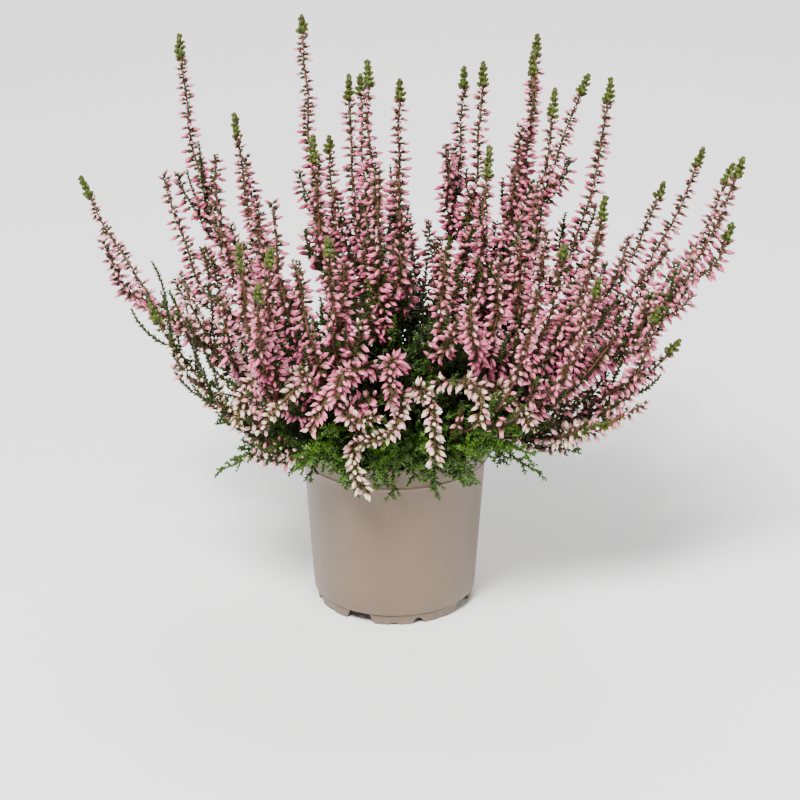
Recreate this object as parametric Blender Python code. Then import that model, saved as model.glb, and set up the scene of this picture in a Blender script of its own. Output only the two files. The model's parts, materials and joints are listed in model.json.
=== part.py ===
# Potted heather: one bushy plant of budding heather in a round moulded nursery pot.
#
# The pot stands on its foot ring at the origin, +Z is up and -Y is the front.
# Sizes are in millimetres, and MM turns them into Blender's metres where a mesh is made.
# The plant has a woody stock in the soil, a leafy crown on the stock, and flower sprays that
# stand on the crown. A spray is one leading spike, with the side shoots that leave it.

import math

import bmesh
import bpy
import numpy as np
from mathutils import Matrix, Vector
from mathutils.bvhtree import BVHTree

MM = 0.001
GAP = 0.3  # between pieces that touch

# Pot, from the foot up
SIDES = 36
WALL = 1.6
FOOT_RADIUS = 45.3
FOOT_HEIGHT = 6.8
FOOT_WIDTH = 2.0
WALL_FOOT_RADIUS = 47.4
WALL_TOP_RADIUS = 53.2
BAND_RADIUS = 55.0
BAND_BOTTOM = 91.6
RIM_HEIGHT = 104.0
DRAIN_HOLES = 8
DRAIN_RADIUS = 3.4
DRAIN_RING = 35.0

# Soil and stock
SOIL_TOP = 94.0
STOCK_RADIUS = 6.0
STOCK_NECK = 5.0
STOCK_BOTTOM = 70.0
STOCK_TOP = 111.6

# Leafy crown: an egg-shaped core with twigs that stand out of it
CROWN_CENTRE = np.array((0.0, 0.0, 114.0))
CROWN_AXES = np.array((50.0, 50.0, 42.0))
CROWN_SIDES = 16
CROWN_BASE_RADIUS = 44.0
LEAST_ROOT_HEIGHT = 112.0  # of a spike or a twig, so that it clears the rim
TWIG_COUNT = 68
TWIG_LENGTH = 27.0
SHORT_TWIG = 0.55  # of that length, where a long one finds no room
TWIG_REACH = 3.8
TWIG_PITCH = 8.5
HANGING_TWIGS = 14
HANGING_OUT, HANGING_DROP = 17.0, 22.0
GOLDEN_SHARE = 0.618034  # steps that spread the twigs evenly and without rows
LEVEL_SHARE, BEARING_SHARE = 0.7548777, 0.5698403

# Flower spikes
STEM_RADIUS = 1.1
BUD_REACH = 6.2
BUD_PITCH = 9.9
LEAF_REACH = 2.7
LEAF_PITCH = 6.0
BARE_LENGTH = 24.0

UP = np.array((0.0, 0.0, 1.0))
SIGHT = np.array((0.0, 0.915, -0.404))  # the way a viewer in front and above looks

# Lengths of a spike's two curve handles, as shares of the way from root to tip
LEAVE = 0.40
ARRIVE = 0.42
ARRIVE_STEEP = 0.18  # added for a spike that stands over its root
ARRIVE_HEADED = 0.62  # for a spike with a heading of its own

# How much more upright than its chord a spike comes to its tip
RISE_HEIGHT = 90.0  # height over the root for a rise of 1
RISE_LEAST, RISE_MOST, RISE_STEEP = 0.1, 1.3, 1.6

ROOT_SLACK = 30.0  # degrees that a leaning spike is rooted below its tip's slope
HANGING_SLOPE = 38.0  # degrees up the crown at which a hanging spike is rooted

# Spikes that leave the crown elsewhere than under their tips: the ways from the crown's centre
ROOT_WAYS = {2: (-0.66, -0.75, -0.06)}

# Each spray: its leading spike, then the side shoots. A spike is its tip's place, the length of
# its green tip, and for one that hangs or lies down the heading of its tip. A side shoot has,
# before them, the share of the leading spike's length at which it leaves.
SPRAYS = [
    # Left side
    [((-186, 95, 226), 14), (0.30, (-126, 15, 176), 0), (0.35, (-165, -10, 227), 0)],
    [((-138, -34, 197), 12)],
    [((-120, -30, 214), 0), (0.25, (-95, -70, 214), 0)],
    [((-133, 40, 249), 0)],
    [((-126, 98, 313), 14, (-0.08, 0.15, 1.0))],
    [((-102, -10, 269), 0)],
    [((-93, 70, 274), 14), (0.30, (-89, 105, 236), 0)],
    [((-78, 20, 237), 0)],
    [((-67, -50, 265), 0)],
    [((-84, -90, 255), 16), (0.30, (-66, -95, 255), 12), (0.35, (-73, -108, 239), 12)],
    # Left of the middle
    [((-54, 95, 326), 10, (-0.05, 0.2, 1.0))],
    [((-45, -25, 294), 16)],
    [((-38, 60, 264), 10)],
    [((-26, 45, 306), 14)],
    [((-20, 100, 288), 12)],
    [((-15, 10, 326), 14)],
    [((-9, -40, 280), 0)],
    [((3, 85, 290), 12)],
    [((3, -10, 270), 0)],
    [((-36, -85, 257), 12), (0.35, (-28, -60, 233), 0)],
    [((10, 50, 207), 0)],
    [((-54, -75, 239), 0)],
    # Right of the middle
    [((41, 105, 291), 12), (0.45, (30, 70, 256), 0)],
    [((51, 50, 312), 14)],
    [((53, -15, 284), 18)],
    [((73, 60, 270), 0), (0.15, (50, 70, 200), 0)],
    [((84, 105, 311), 12, (0.06, 0.2, 1.0)), (0.30, (80, 65, 314), 14, (0.06, 0.1, 1.0))],
    [((90, 5, 311), 16)],
    [((113, 85, 293), 12, (0.42, 0.2, 1.0))],
    [((123, 30, 309), 14)],
    [((118, -25, 258), 14), (0.35, (132, -20, 232), 0)],
    [((114, -60, 255), 0), (0.35, (112, -80, 231), 12)],
    [((85, -40, 245), 0), (0.35, (70, -30, 238), 0)],
    [((94, -60, 243), 8)],
    # Right side
    [((178, 45, 262), 12), (0.55, (158, 22, 210), 0)],
    [((158, 70, 232), 10)],
    [((189, -18, 275), 12)],
    [((189, -72, 298), 12), (0.60, (185, -66, 258), 10)],
    [((160, -50, 182), 10), (0.45, (146, -60, 206), 10)],
    [((140, -70, 152), 0), (0.35, (122, -62, 136), 8)],
    # Front of the right side
    [((28, -50, 236), 0)],
    [((58, -75, 239), 0), (0.30, (41, -100, 227), 0)],
    [((79, -95, 230), 0)],
    [((105, -85, 203), 0), (0.30, (126, -55, 190), 0)],
    # Hanging and lying down in front
    [((-47, -100, 149), 0, (-0.3, -0.2, -1.0)), (0.30, (-31, -96, 166), 0, (0.0, -0.2, -1.0))],
    [((-1, -92, 162), 0, (0.1, -0.2, -1.0))],
    [((-9, -106, 160), 0, (1.0, -0.2, 0.2))],
    [((-20, -104, 143), 0, (-1.0, -0.1, -0.2))],
    [((22, -98, 127), 0, (-0.1, -0.1, -1.0))],
    [((-14, -79, 101), 0, (0.7, -0.1, -0.8))],
    [((46, -95, 150), 0, (-0.3, -0.4, -0.8)), (0.30, (78, -82, 140), 0, (0.5, -0.3, -0.7))],
    [((-73, -95, 145), 0, (-0.1, -0.3, -1.0)), (0.30, (-88, -75, 141), 0, (-0.4, -0.2, -0.8))],
    # Low at the back
    [((-95, 98, 185), 0), (0.25, (-62, 106, 150), 0)],
    [((-18, 108, 178), 0), (0.25, (14, 107, 146), 0)],
    [((55, 106, 188), 0), (0.25, (84, 92, 150), 0)],
    [((112, 84, 165), 0)],
]


def new_material(name, color, roughness):
    material = bpy.data.materials.new(name)
    material.use_nodes = True
    shader = material.node_tree.nodes["Principled BSDF"]
    shader.inputs["Base Color"].default_value = (*color, 1.0)
    shader.inputs["Roughness"].default_value = roughness
    shader.inputs["Metallic"].default_value = 0.0
    return material


def new_object(name, points, faces, material):
    mesh = bpy.data.meshes.new(name)
    mesh.from_pydata([tuple(MM * float(c) for c in point) for point in points], [], faces)
    mesh.materials.append(material)
    obj = bpy.data.objects.new(name, mesh)
    bpy.context.scene.collection.objects.link(obj)
    return obj


def turned(name, profile, sides, material, ripple=None):
    """A solid of revolution. The profile is (radius, height) pairs, and runs from the axis at the
    bottom, up the outside and back to the axis. Ripple adds to a point's height."""
    points, rings, faces = [], [], []
    for radius, height in profile:
        if radius == 0:
            rings.append([len(points)] * sides)
            points.append((0.0, 0.0, height))
            continue
        rings.append(list(range(len(points), len(points) + sides)))
        for i in range(sides):
            angle = 2 * math.pi * i / sides
            x, y = radius * math.sin(angle), -radius * math.cos(angle)
            points.append((x, y, height + (ripple(x, y, height) if ripple else 0.0)))
    for low, high in zip(rings, rings[1:]):
        for i in range(sides):
            j = (i + 1) % sides
            corners = [low[i], low[j], high[j], high[i]]
            faces.append([c for k, c in enumerate(corners) if c != corners[k - 1]])
    return new_object(name, points, faces, material)


def boolean(obj, operation, others, solver="EXACT"):
    """Applies one Boolean with a collection of the others, then removes them."""
    group = bpy.data.collections.new(obj.name + "_helpers")
    bpy.context.scene.collection.children.link(group)
    for other in others:
        bpy.context.scene.collection.objects.unlink(other)
        group.objects.link(other)
        other.display_type = "WIRE"
        other.hide_render = True
    modifier = obj.modifiers.new(operation.title(), "BOOLEAN")
    modifier.operation = operation
    modifier.operand_type = "COLLECTION"
    modifier.collection = group
    modifier.solver = solver
    bpy.context.view_layer.update()
    graph = bpy.context.evaluated_depsgraph_get()
    result = bpy.data.meshes.new_from_object(obj.evaluated_get(graph))
    obj.modifiers.clear()
    obj.data = result
    for other in others:
        bpy.data.objects.remove(other)
    bpy.data.collections.remove(group)


def ring_block(bearing, width, low, high, radius, depth):
    """A cutter block across the foot ring, at a bearing in degrees from the front."""
    half = math.radians(width / 2)
    middle = math.radians(bearing)
    points = []
    for height in (low, high):
        for side, reach in ((-1, -depth), (1, -depth), (1, depth), (-1, depth)):
            angle = middle + side * half
            points.append(
                ((radius + reach) * math.sin(angle), -(radius + reach) * math.cos(angle), height)
            )
    faces = [(0, 3, 2, 1), (4, 5, 6, 7), (0, 1, 5, 4), (1, 2, 6, 5), (2, 3, 7, 6), (3, 0, 4, 7)]
    block = new_object("foot_cutter", points, faces, None)
    flip_outward(block)
    return block


def flip_outward(obj):
    shell = bmesh.new()
    shell.from_mesh(obj.data)
    bmesh.ops.recalc_face_normals(shell, faces=shell.faces)
    shell.to_mesh(obj.data)
    shell.free()


def make_pot():
    """The pot's wall, rim band and raised floor, with the foot ring's slots and the drain holes."""
    material = new_material("taupe_moulded_plastic", (0.34, 0.28, 0.235), 0.5)
    inner = WALL_FOOT_RADIUS - WALL - 0.2
    profile = [
        (0, FOOT_HEIGHT),
        (FOOT_RADIUS - FOOT_WIDTH, FOOT_HEIGHT),
        (FOOT_RADIUS - FOOT_WIDTH, 0),
        (FOOT_RADIUS, 0),
        (FOOT_RADIUS + 0.6, FOOT_HEIGHT - 0.2),
        (WALL_FOOT_RADIUS, FOOT_HEIGHT + 0.3),
        (WALL_TOP_RADIUS, BAND_BOTTOM - 0.4),
        (BAND_RADIUS + 0.4, BAND_BOTTOM),
        (BAND_RADIUS, BAND_BOTTOM + 1.5),
        (BAND_RADIUS, RIM_HEIGHT - 0.6),
        (BAND_RADIUS - 0.6, RIM_HEIGHT),
        (BAND_RADIUS - WALL, RIM_HEIGHT),
        (BAND_RADIUS - WALL - 0.2, BAND_BOTTOM + 1.0),
        (WALL_TOP_RADIUS - WALL, BAND_BOTTOM - 1.0),
        (inner, FOOT_HEIGHT + WALL),
        (0, FOOT_HEIGHT + WALL),
    ]
    pot = turned("pot", profile, SIDES, material)
    cutters = []
    for quarter in range(4):
        arch = 18 + 90 * quarter
        cutters.append(ring_block(arch, 7, -2, 3.5, FOOT_RADIUS, 5))
        cutters.append(ring_block(arch - 18, 7, -2, 1.2, FOOT_RADIUS, 5))
        cutters.append(ring_block(arch + 18, 7, -2, 1.2, FOOT_RADIUS, 5))
        cutters.append(ring_block(arch + 45, 20, -2, 5.5, FOOT_RADIUS, 5))
    for hole in range(DRAIN_HOLES):
        angle = 2 * math.pi * (hole + 0.5) / DRAIN_HOLES
        x, y = DRAIN_RING * math.sin(angle), -DRAIN_RING * math.cos(angle)
        drill = turned(
            "drain_cutter",
            [(0, FOOT_HEIGHT - 2), (DRAIN_RADIUS, FOOT_HEIGHT - 2), (DRAIN_RADIUS, 11), (0, 11)],
            8,
            None,
        )
        drill.data.transform(Matrix.Translation((x * MM, y * MM, 0)))
        cutters.append(drill)
    boolean(pot, "DIFFERENCE", cutters)
    return pot


def make_soil():
    """Potting soil up to a finger's width below the rim, with a plain hole for the stock."""
    material = new_material("dark_peat_soil", (0.035, 0.024, 0.017), 0.95)
    floor = FOOT_HEIGHT + WALL + GAP
    foot = WALL_FOOT_RADIUS - WALL - 0.2 - GAP - 0.05
    top = WALL_TOP_RADIUS - WALL - GAP - 0.05
    hole = STOCK_RADIUS + GAP + 0.15
    profile = [
        (0, floor),
        (foot, floor),
        (top, BAND_BOTTOM - 1.0),
        (top - 0.4, SOIL_TOP - 0.8),
        (38, SOIL_TOP),
        (24, SOIL_TOP + 0.6),
        (hole, SOIL_TOP + 0.4),
        (hole, STOCK_BOTTOM - GAP),
        (0, STOCK_BOTTOM - GAP),
    ]

    def crumbs(x, y, height):
        if height < BAND_BOTTOM:
            return 0.0
        return 0.7 * math.sin(0.21 * x + 1.0) * math.cos(0.17 * y - 0.4)

    return turned("potting_soil", profile, SIDES // 2, material, crumbs)


def make_stock():
    """The woody stock that stands in the soil and carries the crown on its neck."""
    material = new_material("brown_heather_wood", (0.12, 0.06, 0.035), 0.8)
    profile = [
        (0, STOCK_BOTTOM),
        (STOCK_RADIUS - 1.0, STOCK_BOTTOM),
        (STOCK_RADIUS, STOCK_BOTTOM + 6),
        (STOCK_RADIUS, SOIL_TOP + 0.5),
        (STOCK_NECK, SOIL_TOP + 2.2),
        (STOCK_NECK, STOCK_TOP - 1.0),
        (STOCK_NECK - 1.0, STOCK_TOP),
        (0, STOCK_TOP),
    ]
    return turned("woody_stock", profile, 12, material)


def crown_core_profile():
    """The core's outline: a socket for the stock, a base inside the rim, then the egg in steps."""
    socket = STOCK_NECK + GAP + 0.1
    base = SOIL_TOP + 2.6
    profile = [
        (0, STOCK_TOP + GAP),
        (socket, STOCK_TOP + GAP),
        (socket, base),
        (CROWN_BASE_RADIUS, base),
    ]
    for degrees in (-15, 4, 22, 40, 58, 75):
        angle = math.radians(degrees)
        profile.append(
            (CROWN_AXES[0] * math.cos(angle), CROWN_CENTRE[2] + CROWN_AXES[2] * math.sin(angle))
        )
    profile.append((0, CROWN_CENTRE[2] + CROWN_AXES[2]))
    return profile


def unit(vectors):
    return vectors / np.maximum(np.linalg.norm(vectors, axis=-1, keepdims=True), 1e-9)


def on_crown(points):
    """The point of the crown's egg nearest in bearing to each point, and the egg's normal there."""
    scaled = unit((points - CROWN_CENTRE) / CROWN_AXES)
    return CROWN_CENTRE + CROWN_AXES * scaled, unit(scaled / CROWN_AXES)


def bezier(controls, t):
    """Points of cubic curves: controls are (curve, 4, 3) and t runs from 0 to 1."""
    weights = np.stack([(1 - t) ** 3, 3 * t * (1 - t) ** 2, 3 * t**2 * (1 - t), t**3])
    return np.einsum("kt,ckd->ctd", weights, controls), weights


def list_spikes():
    """Every spike as one row: spray, parent row or -1, share, tip, green length, heading or None."""
    rows = []
    for spray, shoots in enumerate(SPRAYS):
        leader = len(rows)
        for shoot in shoots:
            if shoot is shoots[0]:
                share, rest, parent = 0.0, shoot, -1
            else:
                share, rest, parent = shoot[0], shoot[1:], leader
            heading = np.array(rest[2]) if len(rest) > 2 else None
            rows.append((spray, parent, share, np.array(rest[0], float), rest[1], heading))
    return rows


def first_root(number, tip, heading):
    """The root of a spray's leading spike: on its tip's bearing, lower for one that leans out, and
    half way up for one that hangs."""
    if number in ROOT_WAYS:
        return CROWN_CENTRE + ROOT_WAYS[number]
    away = tip - CROWN_CENTRE
    reach = math.hypot(away[0], away[1])
    slope = math.atan2(away[2], reach)
    slope = max(slope - math.radians(ROOT_SLACK) * math.sin(2 * slope), math.radians(-6))
    if heading is not None and heading[2] < 0.5:
        slope = math.radians(HANGING_SLOPE)
    flat = away[:2] / max(reach, 1e-6) * math.cos(slope)
    return np.array((flat[0], flat[1], math.sin(slope))) + CROWN_CENTRE


def side_start(curve, share, tip):
    """Where a side shoot leaves its leading spike, and the way it leaves."""
    points, _ = bezier(curve[None], np.array([share, share + 0.02]))
    along = unit(points[0, 1] - points[0, 0])
    return points[0, 0], unit(0.7 * along + unit(tip - points[0, 0]))


def shape_curve(root, leaving, tip, heading):
    """A curve that leaves the root along leaving and comes to the tip along its heading. Without
    one, the nearer it is to standing over its root, the longer its upper part is upright."""
    length = np.linalg.norm(tip - root)
    arrive, bend = unit(heading if heading is not None else UP), ARRIVE_HEADED
    if heading is None:
        height = tip[2] - root[2]
        lean = math.hypot(tip[0] - root[0], tip[1] - root[1])
        steep = np.clip(height / max(lean, 1.0) - 1.0, 0, 1)
        rise = np.clip(height / RISE_HEIGHT, RISE_LEAST, RISE_MOST) + RISE_STEEP * steep
        arrive, bend = unit(unit(tip - root) + rise * UP), ARRIVE + ARRIVE_STEEP * steep
    return np.array((root, root + LEAVE * length * leaving, tip - bend * length * arrive, tip))


def envelope(rows, t, lengths):
    """How far each spike reaches from its middle line: a bare stem, buds, then the green tip."""
    far = np.zeros((len(rows), len(t)))
    for i, row in enumerate(rows):
        along = t * lengths[i]
        far[i] = np.where(along < BARE_LENGTH - 3, STEM_RADIUS + 0.6, BUD_REACH)
        far[i] = np.where(along > lengths[i] - row[4] + 2, LEAF_REACH + 0.5, far[i])
    return far


def lay_out_spikes(rounds=160, steps=18):
    """Curves of all spikes. Stems lean apart until their buds clear each other: where two spikes
    are closer than their envelopes, both are pushed away from each other, and a root slides on
    the crown. A tip may move a little along the line of sight."""
    rows = list_spikes()
    curves = np.zeros((len(rows), 4, 3))
    for i, (spray, parent, share, tip, green, heading) in enumerate(rows):
        if parent < 0:
            root, normal = on_crown(first_root(spray + 1, tip, heading)[None])
            curves[i] = shape_curve(root[0], normal[0], tip, heading)
        else:
            curves[i] = shape_curve(*side_start(curves[parent], share, tip), tip, heading)
    sprays = np.array([row[0] for row in rows])
    tips = np.array([row[3] for row in rows])
    depth = np.zeros(len(rows))
    t = np.linspace(0, 1, steps)
    owner = np.repeat(sprays, steps)
    other = owner[:, None] != owner[None]
    for _ in range(rounds):
        points, weights = bezier(curves, t)
        lengths = np.linalg.norm(np.diff(points, axis=1), axis=2).sum(1)
        far = envelope(rows, t, lengths)
        flat, reach = points.reshape(-1, 3), far.reshape(-1)
        square = (flat**2).sum(1)
        distance = np.sqrt(np.maximum(square[:, None] + square[None] - 2 * flat @ flat.T, 1e-6))
        short = np.clip(reach[:, None] + reach[None] + 1.0 - distance, 0, None) * other
        pull = short / distance
        push = flat * pull.sum(1)[:, None] - pull @ flat
        push /= np.maximum((short > 0).sum(1), 1)[:, None]
        inside, normal = on_crown(flat)
        height = ((flat - inside) * normal).sum(1)
        leaf_room = np.where(reach > STEM_RADIUS + 1, reach + 12.0, 0.0)
        push += normal * np.clip(leaf_room - height, 0, None)[:, None]
        push = push.reshape(points.shape)
        move = np.einsum("kt,ctd->ckd", weights, push) / weights.sum(1)[None, :, None]
        curves[:, 2] += 0.9 * move[:, 2]
        curves[:, 0] += 0.9 * (move[:, 0] + move[:, 1])
        depth = np.clip(depth + 0.5 * move[:, 3] @ SIGHT, -9, 9)
        curves[:, 3] = tips + depth[:, None] * SIGHT
        for i, (spray, parent, share, tip, green, heading) in enumerate(rows):
            span = LEAVE * np.linalg.norm(tip - curves[i, 0])
            if parent < 0:
                root, leaving = on_crown(curves[i, 0][None])
                root[0, 2] = max(root[0, 2], LEAST_ROOT_HEIGHT)
                root, leaving = on_crown(root)
                curves[i, 0], curves[i, 1] = root[0], root[0] + span * leaving[0]
            else:
                start, leaving = side_start(curves[parent], share, tip)
                curves[i, 0], curves[i, 1] = start, start + span * leaving
    return rows, curves


def tube(name, curve, levels, material):
    """A three-sided stem along a curve, as one closed mesh. The levels are (length, reach, lift)
    from the root up: each stretch of that length has its three sides drawn out into points that
    reach that far from the middle line, lift further along it. A reach of 0 leaves it plain."""
    t = np.linspace(0, 1, 80)
    line = bezier(curve[None], t)[0][0]
    run = np.concatenate([[0], np.cumsum(np.linalg.norm(np.diff(line, axis=0), axis=1))])
    total = run[-1]
    share = total / sum(level[0] for level in levels)
    across = np.cross(line[-1] - line[0], line[40] - line[0])
    if np.linalg.norm(across) < 1.0:
        across = np.cross(line[-1] - line[0], (0.3, 1.0, 0.2))

    def place(at):
        return np.array([np.interp(at, run, line[:, axis]) for axis in range(3)])

    def frame(at):
        forward = unit(place(min(at + 0.5, total)) - place(max(at - 0.5, 0)))
        side = unit(across - forward * (across @ forward))
        return forward, side, np.cross(forward, side)

    def around(at, angle, reach, lift):
        forward, side, other = frame(at)
        return place(at) + reach * (math.cos(angle) * side + math.sin(angle) * other) + lift * forward

    points, faces = [], [(2, 1, 0)]
    at, turn, third = 0.0, 0.0, 2 * math.pi / 3
    points += [around(0, turn + k * third, STEM_RADIUS, 0) for k in range(3)]
    for number, (length, reach, lift) in enumerate(levels):
        base, length = len(points) - 3, length * share
        last = number == len(levels) - 1
        twist = 0.0 if reach == 0 else math.radians(55)
        if reach:
            tips = [
                around(at + length / 2, turn + twist / 2 + (k + 0.5) * third, reach, lift)
                for k in range(3)
            ]
        at, turn = at + length, turn + twist
        if last:
            points.append(place(total))
            faces += [(base + k, base + (k + 1) % 3, base + 3) for k in range(3)]
            continue
        ring = [around(at, turn + k * third, STEM_RADIUS * (1 - 0.25 * at / total), 0) for k in range(3)]
        if reach:
            points += tips + ring
            upper = base + 6
            for k in range(3):
                a, b, tip = base + k, base + (k + 1) % 3, base + 3 + k
                c, d = upper + (k + 1) % 3, upper + k
                faces += [(a, b, tip), (b, c, tip), (c, d, tip), (d, a, tip)]
        else:
            points += ring
            for k in range(3):
                a, b = base + k, base + (k + 1) % 3
                faces.append((a, b, b + 3, a + 3))
    return new_object(name, points, faces, material)


def spike_levels(length, green, bare):
    """The stretches of one flower spike: bare stem, whorls of buds, leafy tip."""
    whorls = max(round((length - bare - green) / BUD_PITCH), 1)
    pitch = (length - bare - green) / (whorls + 0.4)
    levels = [(bare, 0, 0)] if bare else []
    levels += [(pitch, BUD_REACH, 1.6)] * whorls
    for _ in range(round(green / LEAF_PITCH)):
        levels.append((LEAF_PITCH, LEAF_REACH, 2.4))
    levels.append((0.4 * pitch, 0, 0))
    return levels


def make_sprays(rows, curves, crown_tree):
    """The flower sprays, each on the crown's face with the touching gap under its root."""
    material = new_material("pink_heather_buds", (0.72, 0.22, 0.36), 0.6)
    sprays = []
    for spray in range(len(SPRAYS)):
        pieces = []
        for i, (owner, parent, share, tip, green, heading) in enumerate(rows):
            if owner != spray:
                continue
            if parent < 0:
                near, normal, _, _ = crown_tree.find_nearest(Vector(curves[i, 0]))
                span = np.linalg.norm(curves[i, 1] - curves[i, 0])
                curves[i, 0] = np.array(near) + 1.2 * GAP * np.array(normal)
                curves[i, 1] = curves[i, 0] + span * np.array(normal)
            else:
                shift = side_start(curves[parent], share, curves[i, 3])[0] - curves[i, 0]
                curves[i, :2] += shift
            line = bezier(curves[i][None], np.linspace(0, 1, 40))[0][0]
            length = np.linalg.norm(np.diff(line, axis=0), axis=1).sum()
            bare = min(BARE_LENGTH, 0.3 * length)
            if parent >= 0:
                leader = bezier(curves[parent][None], np.linspace(0, 1, 60))[0][0]
                parted = np.linalg.norm(line[:, None] - leader[None], axis=2).min(1) > BUD_REACH + 3
                bare = length * (np.argmax(parted) / 39 if parted.any() else 0.6)
            levels = spike_levels(length, green, bare)
            pieces.append(tube(f"flower_spray_{spray + 1:02d}", curves[i], levels, material))
        if len(pieces) > 1:
            boolean(pieces[0], "UNION", pieces[1:], "MANIFOLD")
        pieces[0].name = f"flower_spray_{spray + 1:02d}"
        sprays.append(pieces[0])
    return sprays


def twig_curves(rows, curves):
    """The crown's leafy twigs, spread evenly over it where the spikes leave room: long ones that
    hang over the pot's rim, then upright ones, longer towards the rim."""
    t = np.linspace(0, 1, 60)
    stems = bezier(curves, t)[0]
    lengths = np.linalg.norm(np.diff(stems, axis=1), axis=2).sum(1)
    room = envelope(rows, t, lengths) + TWIG_REACH + GAP
    stems, room = stems.reshape(-1, 3), room.reshape(-1)
    chosen = []

    def fits(curve):
        line = bezier(curve[None], np.linspace(0.1, 1, 12))[0][0]
        gaps = np.linalg.norm(line[:, None] - stems[None], axis=2) - room[None]
        apart = [np.linalg.norm(other[3] - curve[3]) for other in chosen]
        return gaps.min() > 0 and min(apart, default=TWIG_PITCH) >= TWIG_PITCH

    for number in range(400):
        if len(chosen) == HANGING_TWIGS:
            break
        bearing = 2 * math.pi * ((number * GOLDEN_SHARE) % 1)
        out = np.array((math.sin(bearing), -math.cos(bearing), 0.0))
        root = on_crown((CROWN_CENTRE + 60 * out - 2 * UP)[None])[0][0]
        wide, drop = HANGING_OUT + 4 * math.sin(3 * number), HANGING_DROP + 8 * math.sin(5 * number)
        end = root + wide * out - drop * UP
        curve = np.array((root - 5 * out, root + 15 * out + 3 * UP, end + 12 * UP, end))
        if fits(curve):
            chosen.append(curve)
    for number in range(4000):
        if len(chosen) == TWIG_COUNT + HANGING_TWIGS:
            break
        level = (number * LEVEL_SHARE) % 1
        bearing = 2 * math.pi * ((number * BEARING_SHARE) % 1)
        wide = math.sqrt(1 - level**2)
        out = np.array((wide * math.sin(bearing), -wide * math.cos(bearing), level))
        root, normal = on_crown((CROWN_CENTRE + 60 * out)[None])
        root, normal = root[0], normal[0]
        rise = (0.25 + 0.2 * math.sin(2 * number)) * UP
        for size in (1.0, SHORT_TWIG):
            length = size * TWIG_LENGTH * (0.8 + 0.7 * (1 - level) ** 2 + 0.2 * math.sin(number))
            end = root + length * unit(normal + rise)
            curve = np.array((root - 5 * normal, root + 0.4 * length * normal, end - 6 * UP, end))
            if fits(curve):
                chosen.append(curve)
                break
    return chosen


def make_crown(rows, curves):
    """The leafy crown: its core, and the twigs with their whorls of scale leaves joined to it."""
    material = new_material("green_scale_leaves", (0.05, 0.12, 0.02), 0.7)
    crown = turned("leafy_crown", crown_core_profile(), CROWN_SIDES, material)
    shell = bmesh.new()
    shell.from_mesh(crown.data)
    bmesh.ops.triangulate(shell, faces=shell.faces)
    tree = BVHTree.FromPolygons(
        [vertex.co / MM for vertex in shell.verts],
        [[vertex.index for vertex in face.verts] for face in shell.faces],
    )
    shell.free()
    twigs = []
    for curve in twig_curves(rows, curves):
        whorls = max(round((np.linalg.norm(curve[3] - curve[0]) - 9) / TWIG_PITCH), 1)
        levels = [(8.0, 0, 0)] + [(TWIG_PITCH, TWIG_REACH, 3.0)] * whorls + [(2.0, 0, 0)]
        twigs.append(tube("crown_twig", curve, levels, material))
    return crown, twigs, tree


def main():
    for obj in list(bpy.data.objects):
        bpy.data.objects.remove(obj)
    make_pot()
    make_soil()
    make_stock()
    rows, curves = lay_out_spikes()
    crown, twigs, tree = make_crown(rows, curves)
    make_sprays(rows, curves, tree)
    boolean(crown, "UNION", twigs, "MANIFOLD")


main()
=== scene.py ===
import json
import math

import bpy
import numpy as np
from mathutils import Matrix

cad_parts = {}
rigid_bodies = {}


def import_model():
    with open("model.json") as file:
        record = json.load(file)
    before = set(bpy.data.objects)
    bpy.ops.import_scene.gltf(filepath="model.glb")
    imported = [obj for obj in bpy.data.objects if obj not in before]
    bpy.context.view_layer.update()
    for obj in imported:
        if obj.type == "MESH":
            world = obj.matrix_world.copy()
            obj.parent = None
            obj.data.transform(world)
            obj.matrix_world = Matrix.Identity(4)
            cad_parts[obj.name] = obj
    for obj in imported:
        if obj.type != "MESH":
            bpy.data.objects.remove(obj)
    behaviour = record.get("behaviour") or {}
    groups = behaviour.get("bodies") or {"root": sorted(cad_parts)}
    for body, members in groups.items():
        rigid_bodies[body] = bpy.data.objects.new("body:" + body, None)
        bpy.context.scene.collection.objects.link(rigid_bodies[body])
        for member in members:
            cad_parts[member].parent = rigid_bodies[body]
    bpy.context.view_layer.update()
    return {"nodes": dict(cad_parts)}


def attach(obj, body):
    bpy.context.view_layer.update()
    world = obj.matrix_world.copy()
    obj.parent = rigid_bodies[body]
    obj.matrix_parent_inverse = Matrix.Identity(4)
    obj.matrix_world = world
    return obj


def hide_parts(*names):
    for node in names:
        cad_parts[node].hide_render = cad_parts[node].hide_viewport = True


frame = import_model()
metre = 0.001  # one millimetre in metres
random = np.random.default_rng(20)
upward = np.array((0.0, 0.0, 1.0))

cameraView = {"target": (3.2, 0.0, 123.4), "distance": 2000.0, "elevation": 23.8, "lens": 155.1}


def addObject(name, data):
    item = bpy.data.objects.new(name, data)
    bpy.context.scene.collection.objects.link(item)
    return item


def addCamera(view):
    # The camera stands on the line that rises from the target at the elevation, and looks down it.
    slope = math.radians(view["elevation"])
    data = bpy.data.cameras.new("photoCamera")
    data.lens, data.sensor_width = view["lens"], 36.0
    data.clip_start, data.clip_end = 0.05, 50.0
    camera = addObject("photoCamera", data)
    x, y, z = view["target"]
    back, rise = view["distance"] * math.cos(slope), view["distance"] * math.sin(slope)
    camera.location = (x * metre, (y - back) * metre, (z + rise) * metre)
    camera.rotation_euler = (math.pi / 2 - slope, 0.0, 0.0)
    bpy.context.scene.camera = camera


addCamera(cameraView)
print("camera placed")

# Materials


def linearColor(code):
    # sRGB to linear: the lowest values over 12.92, the others ((c + 0.055) / 1.055) to the 2.4.
    parts = [int(code[i : i + 2], 16) / 255 for i in (1, 3, 5)]
    return (*[c / 12.92 if c <= 0.04045 else ((c + 0.055) / 1.055) ** 2.4 for c in parts], 1.0)


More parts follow.
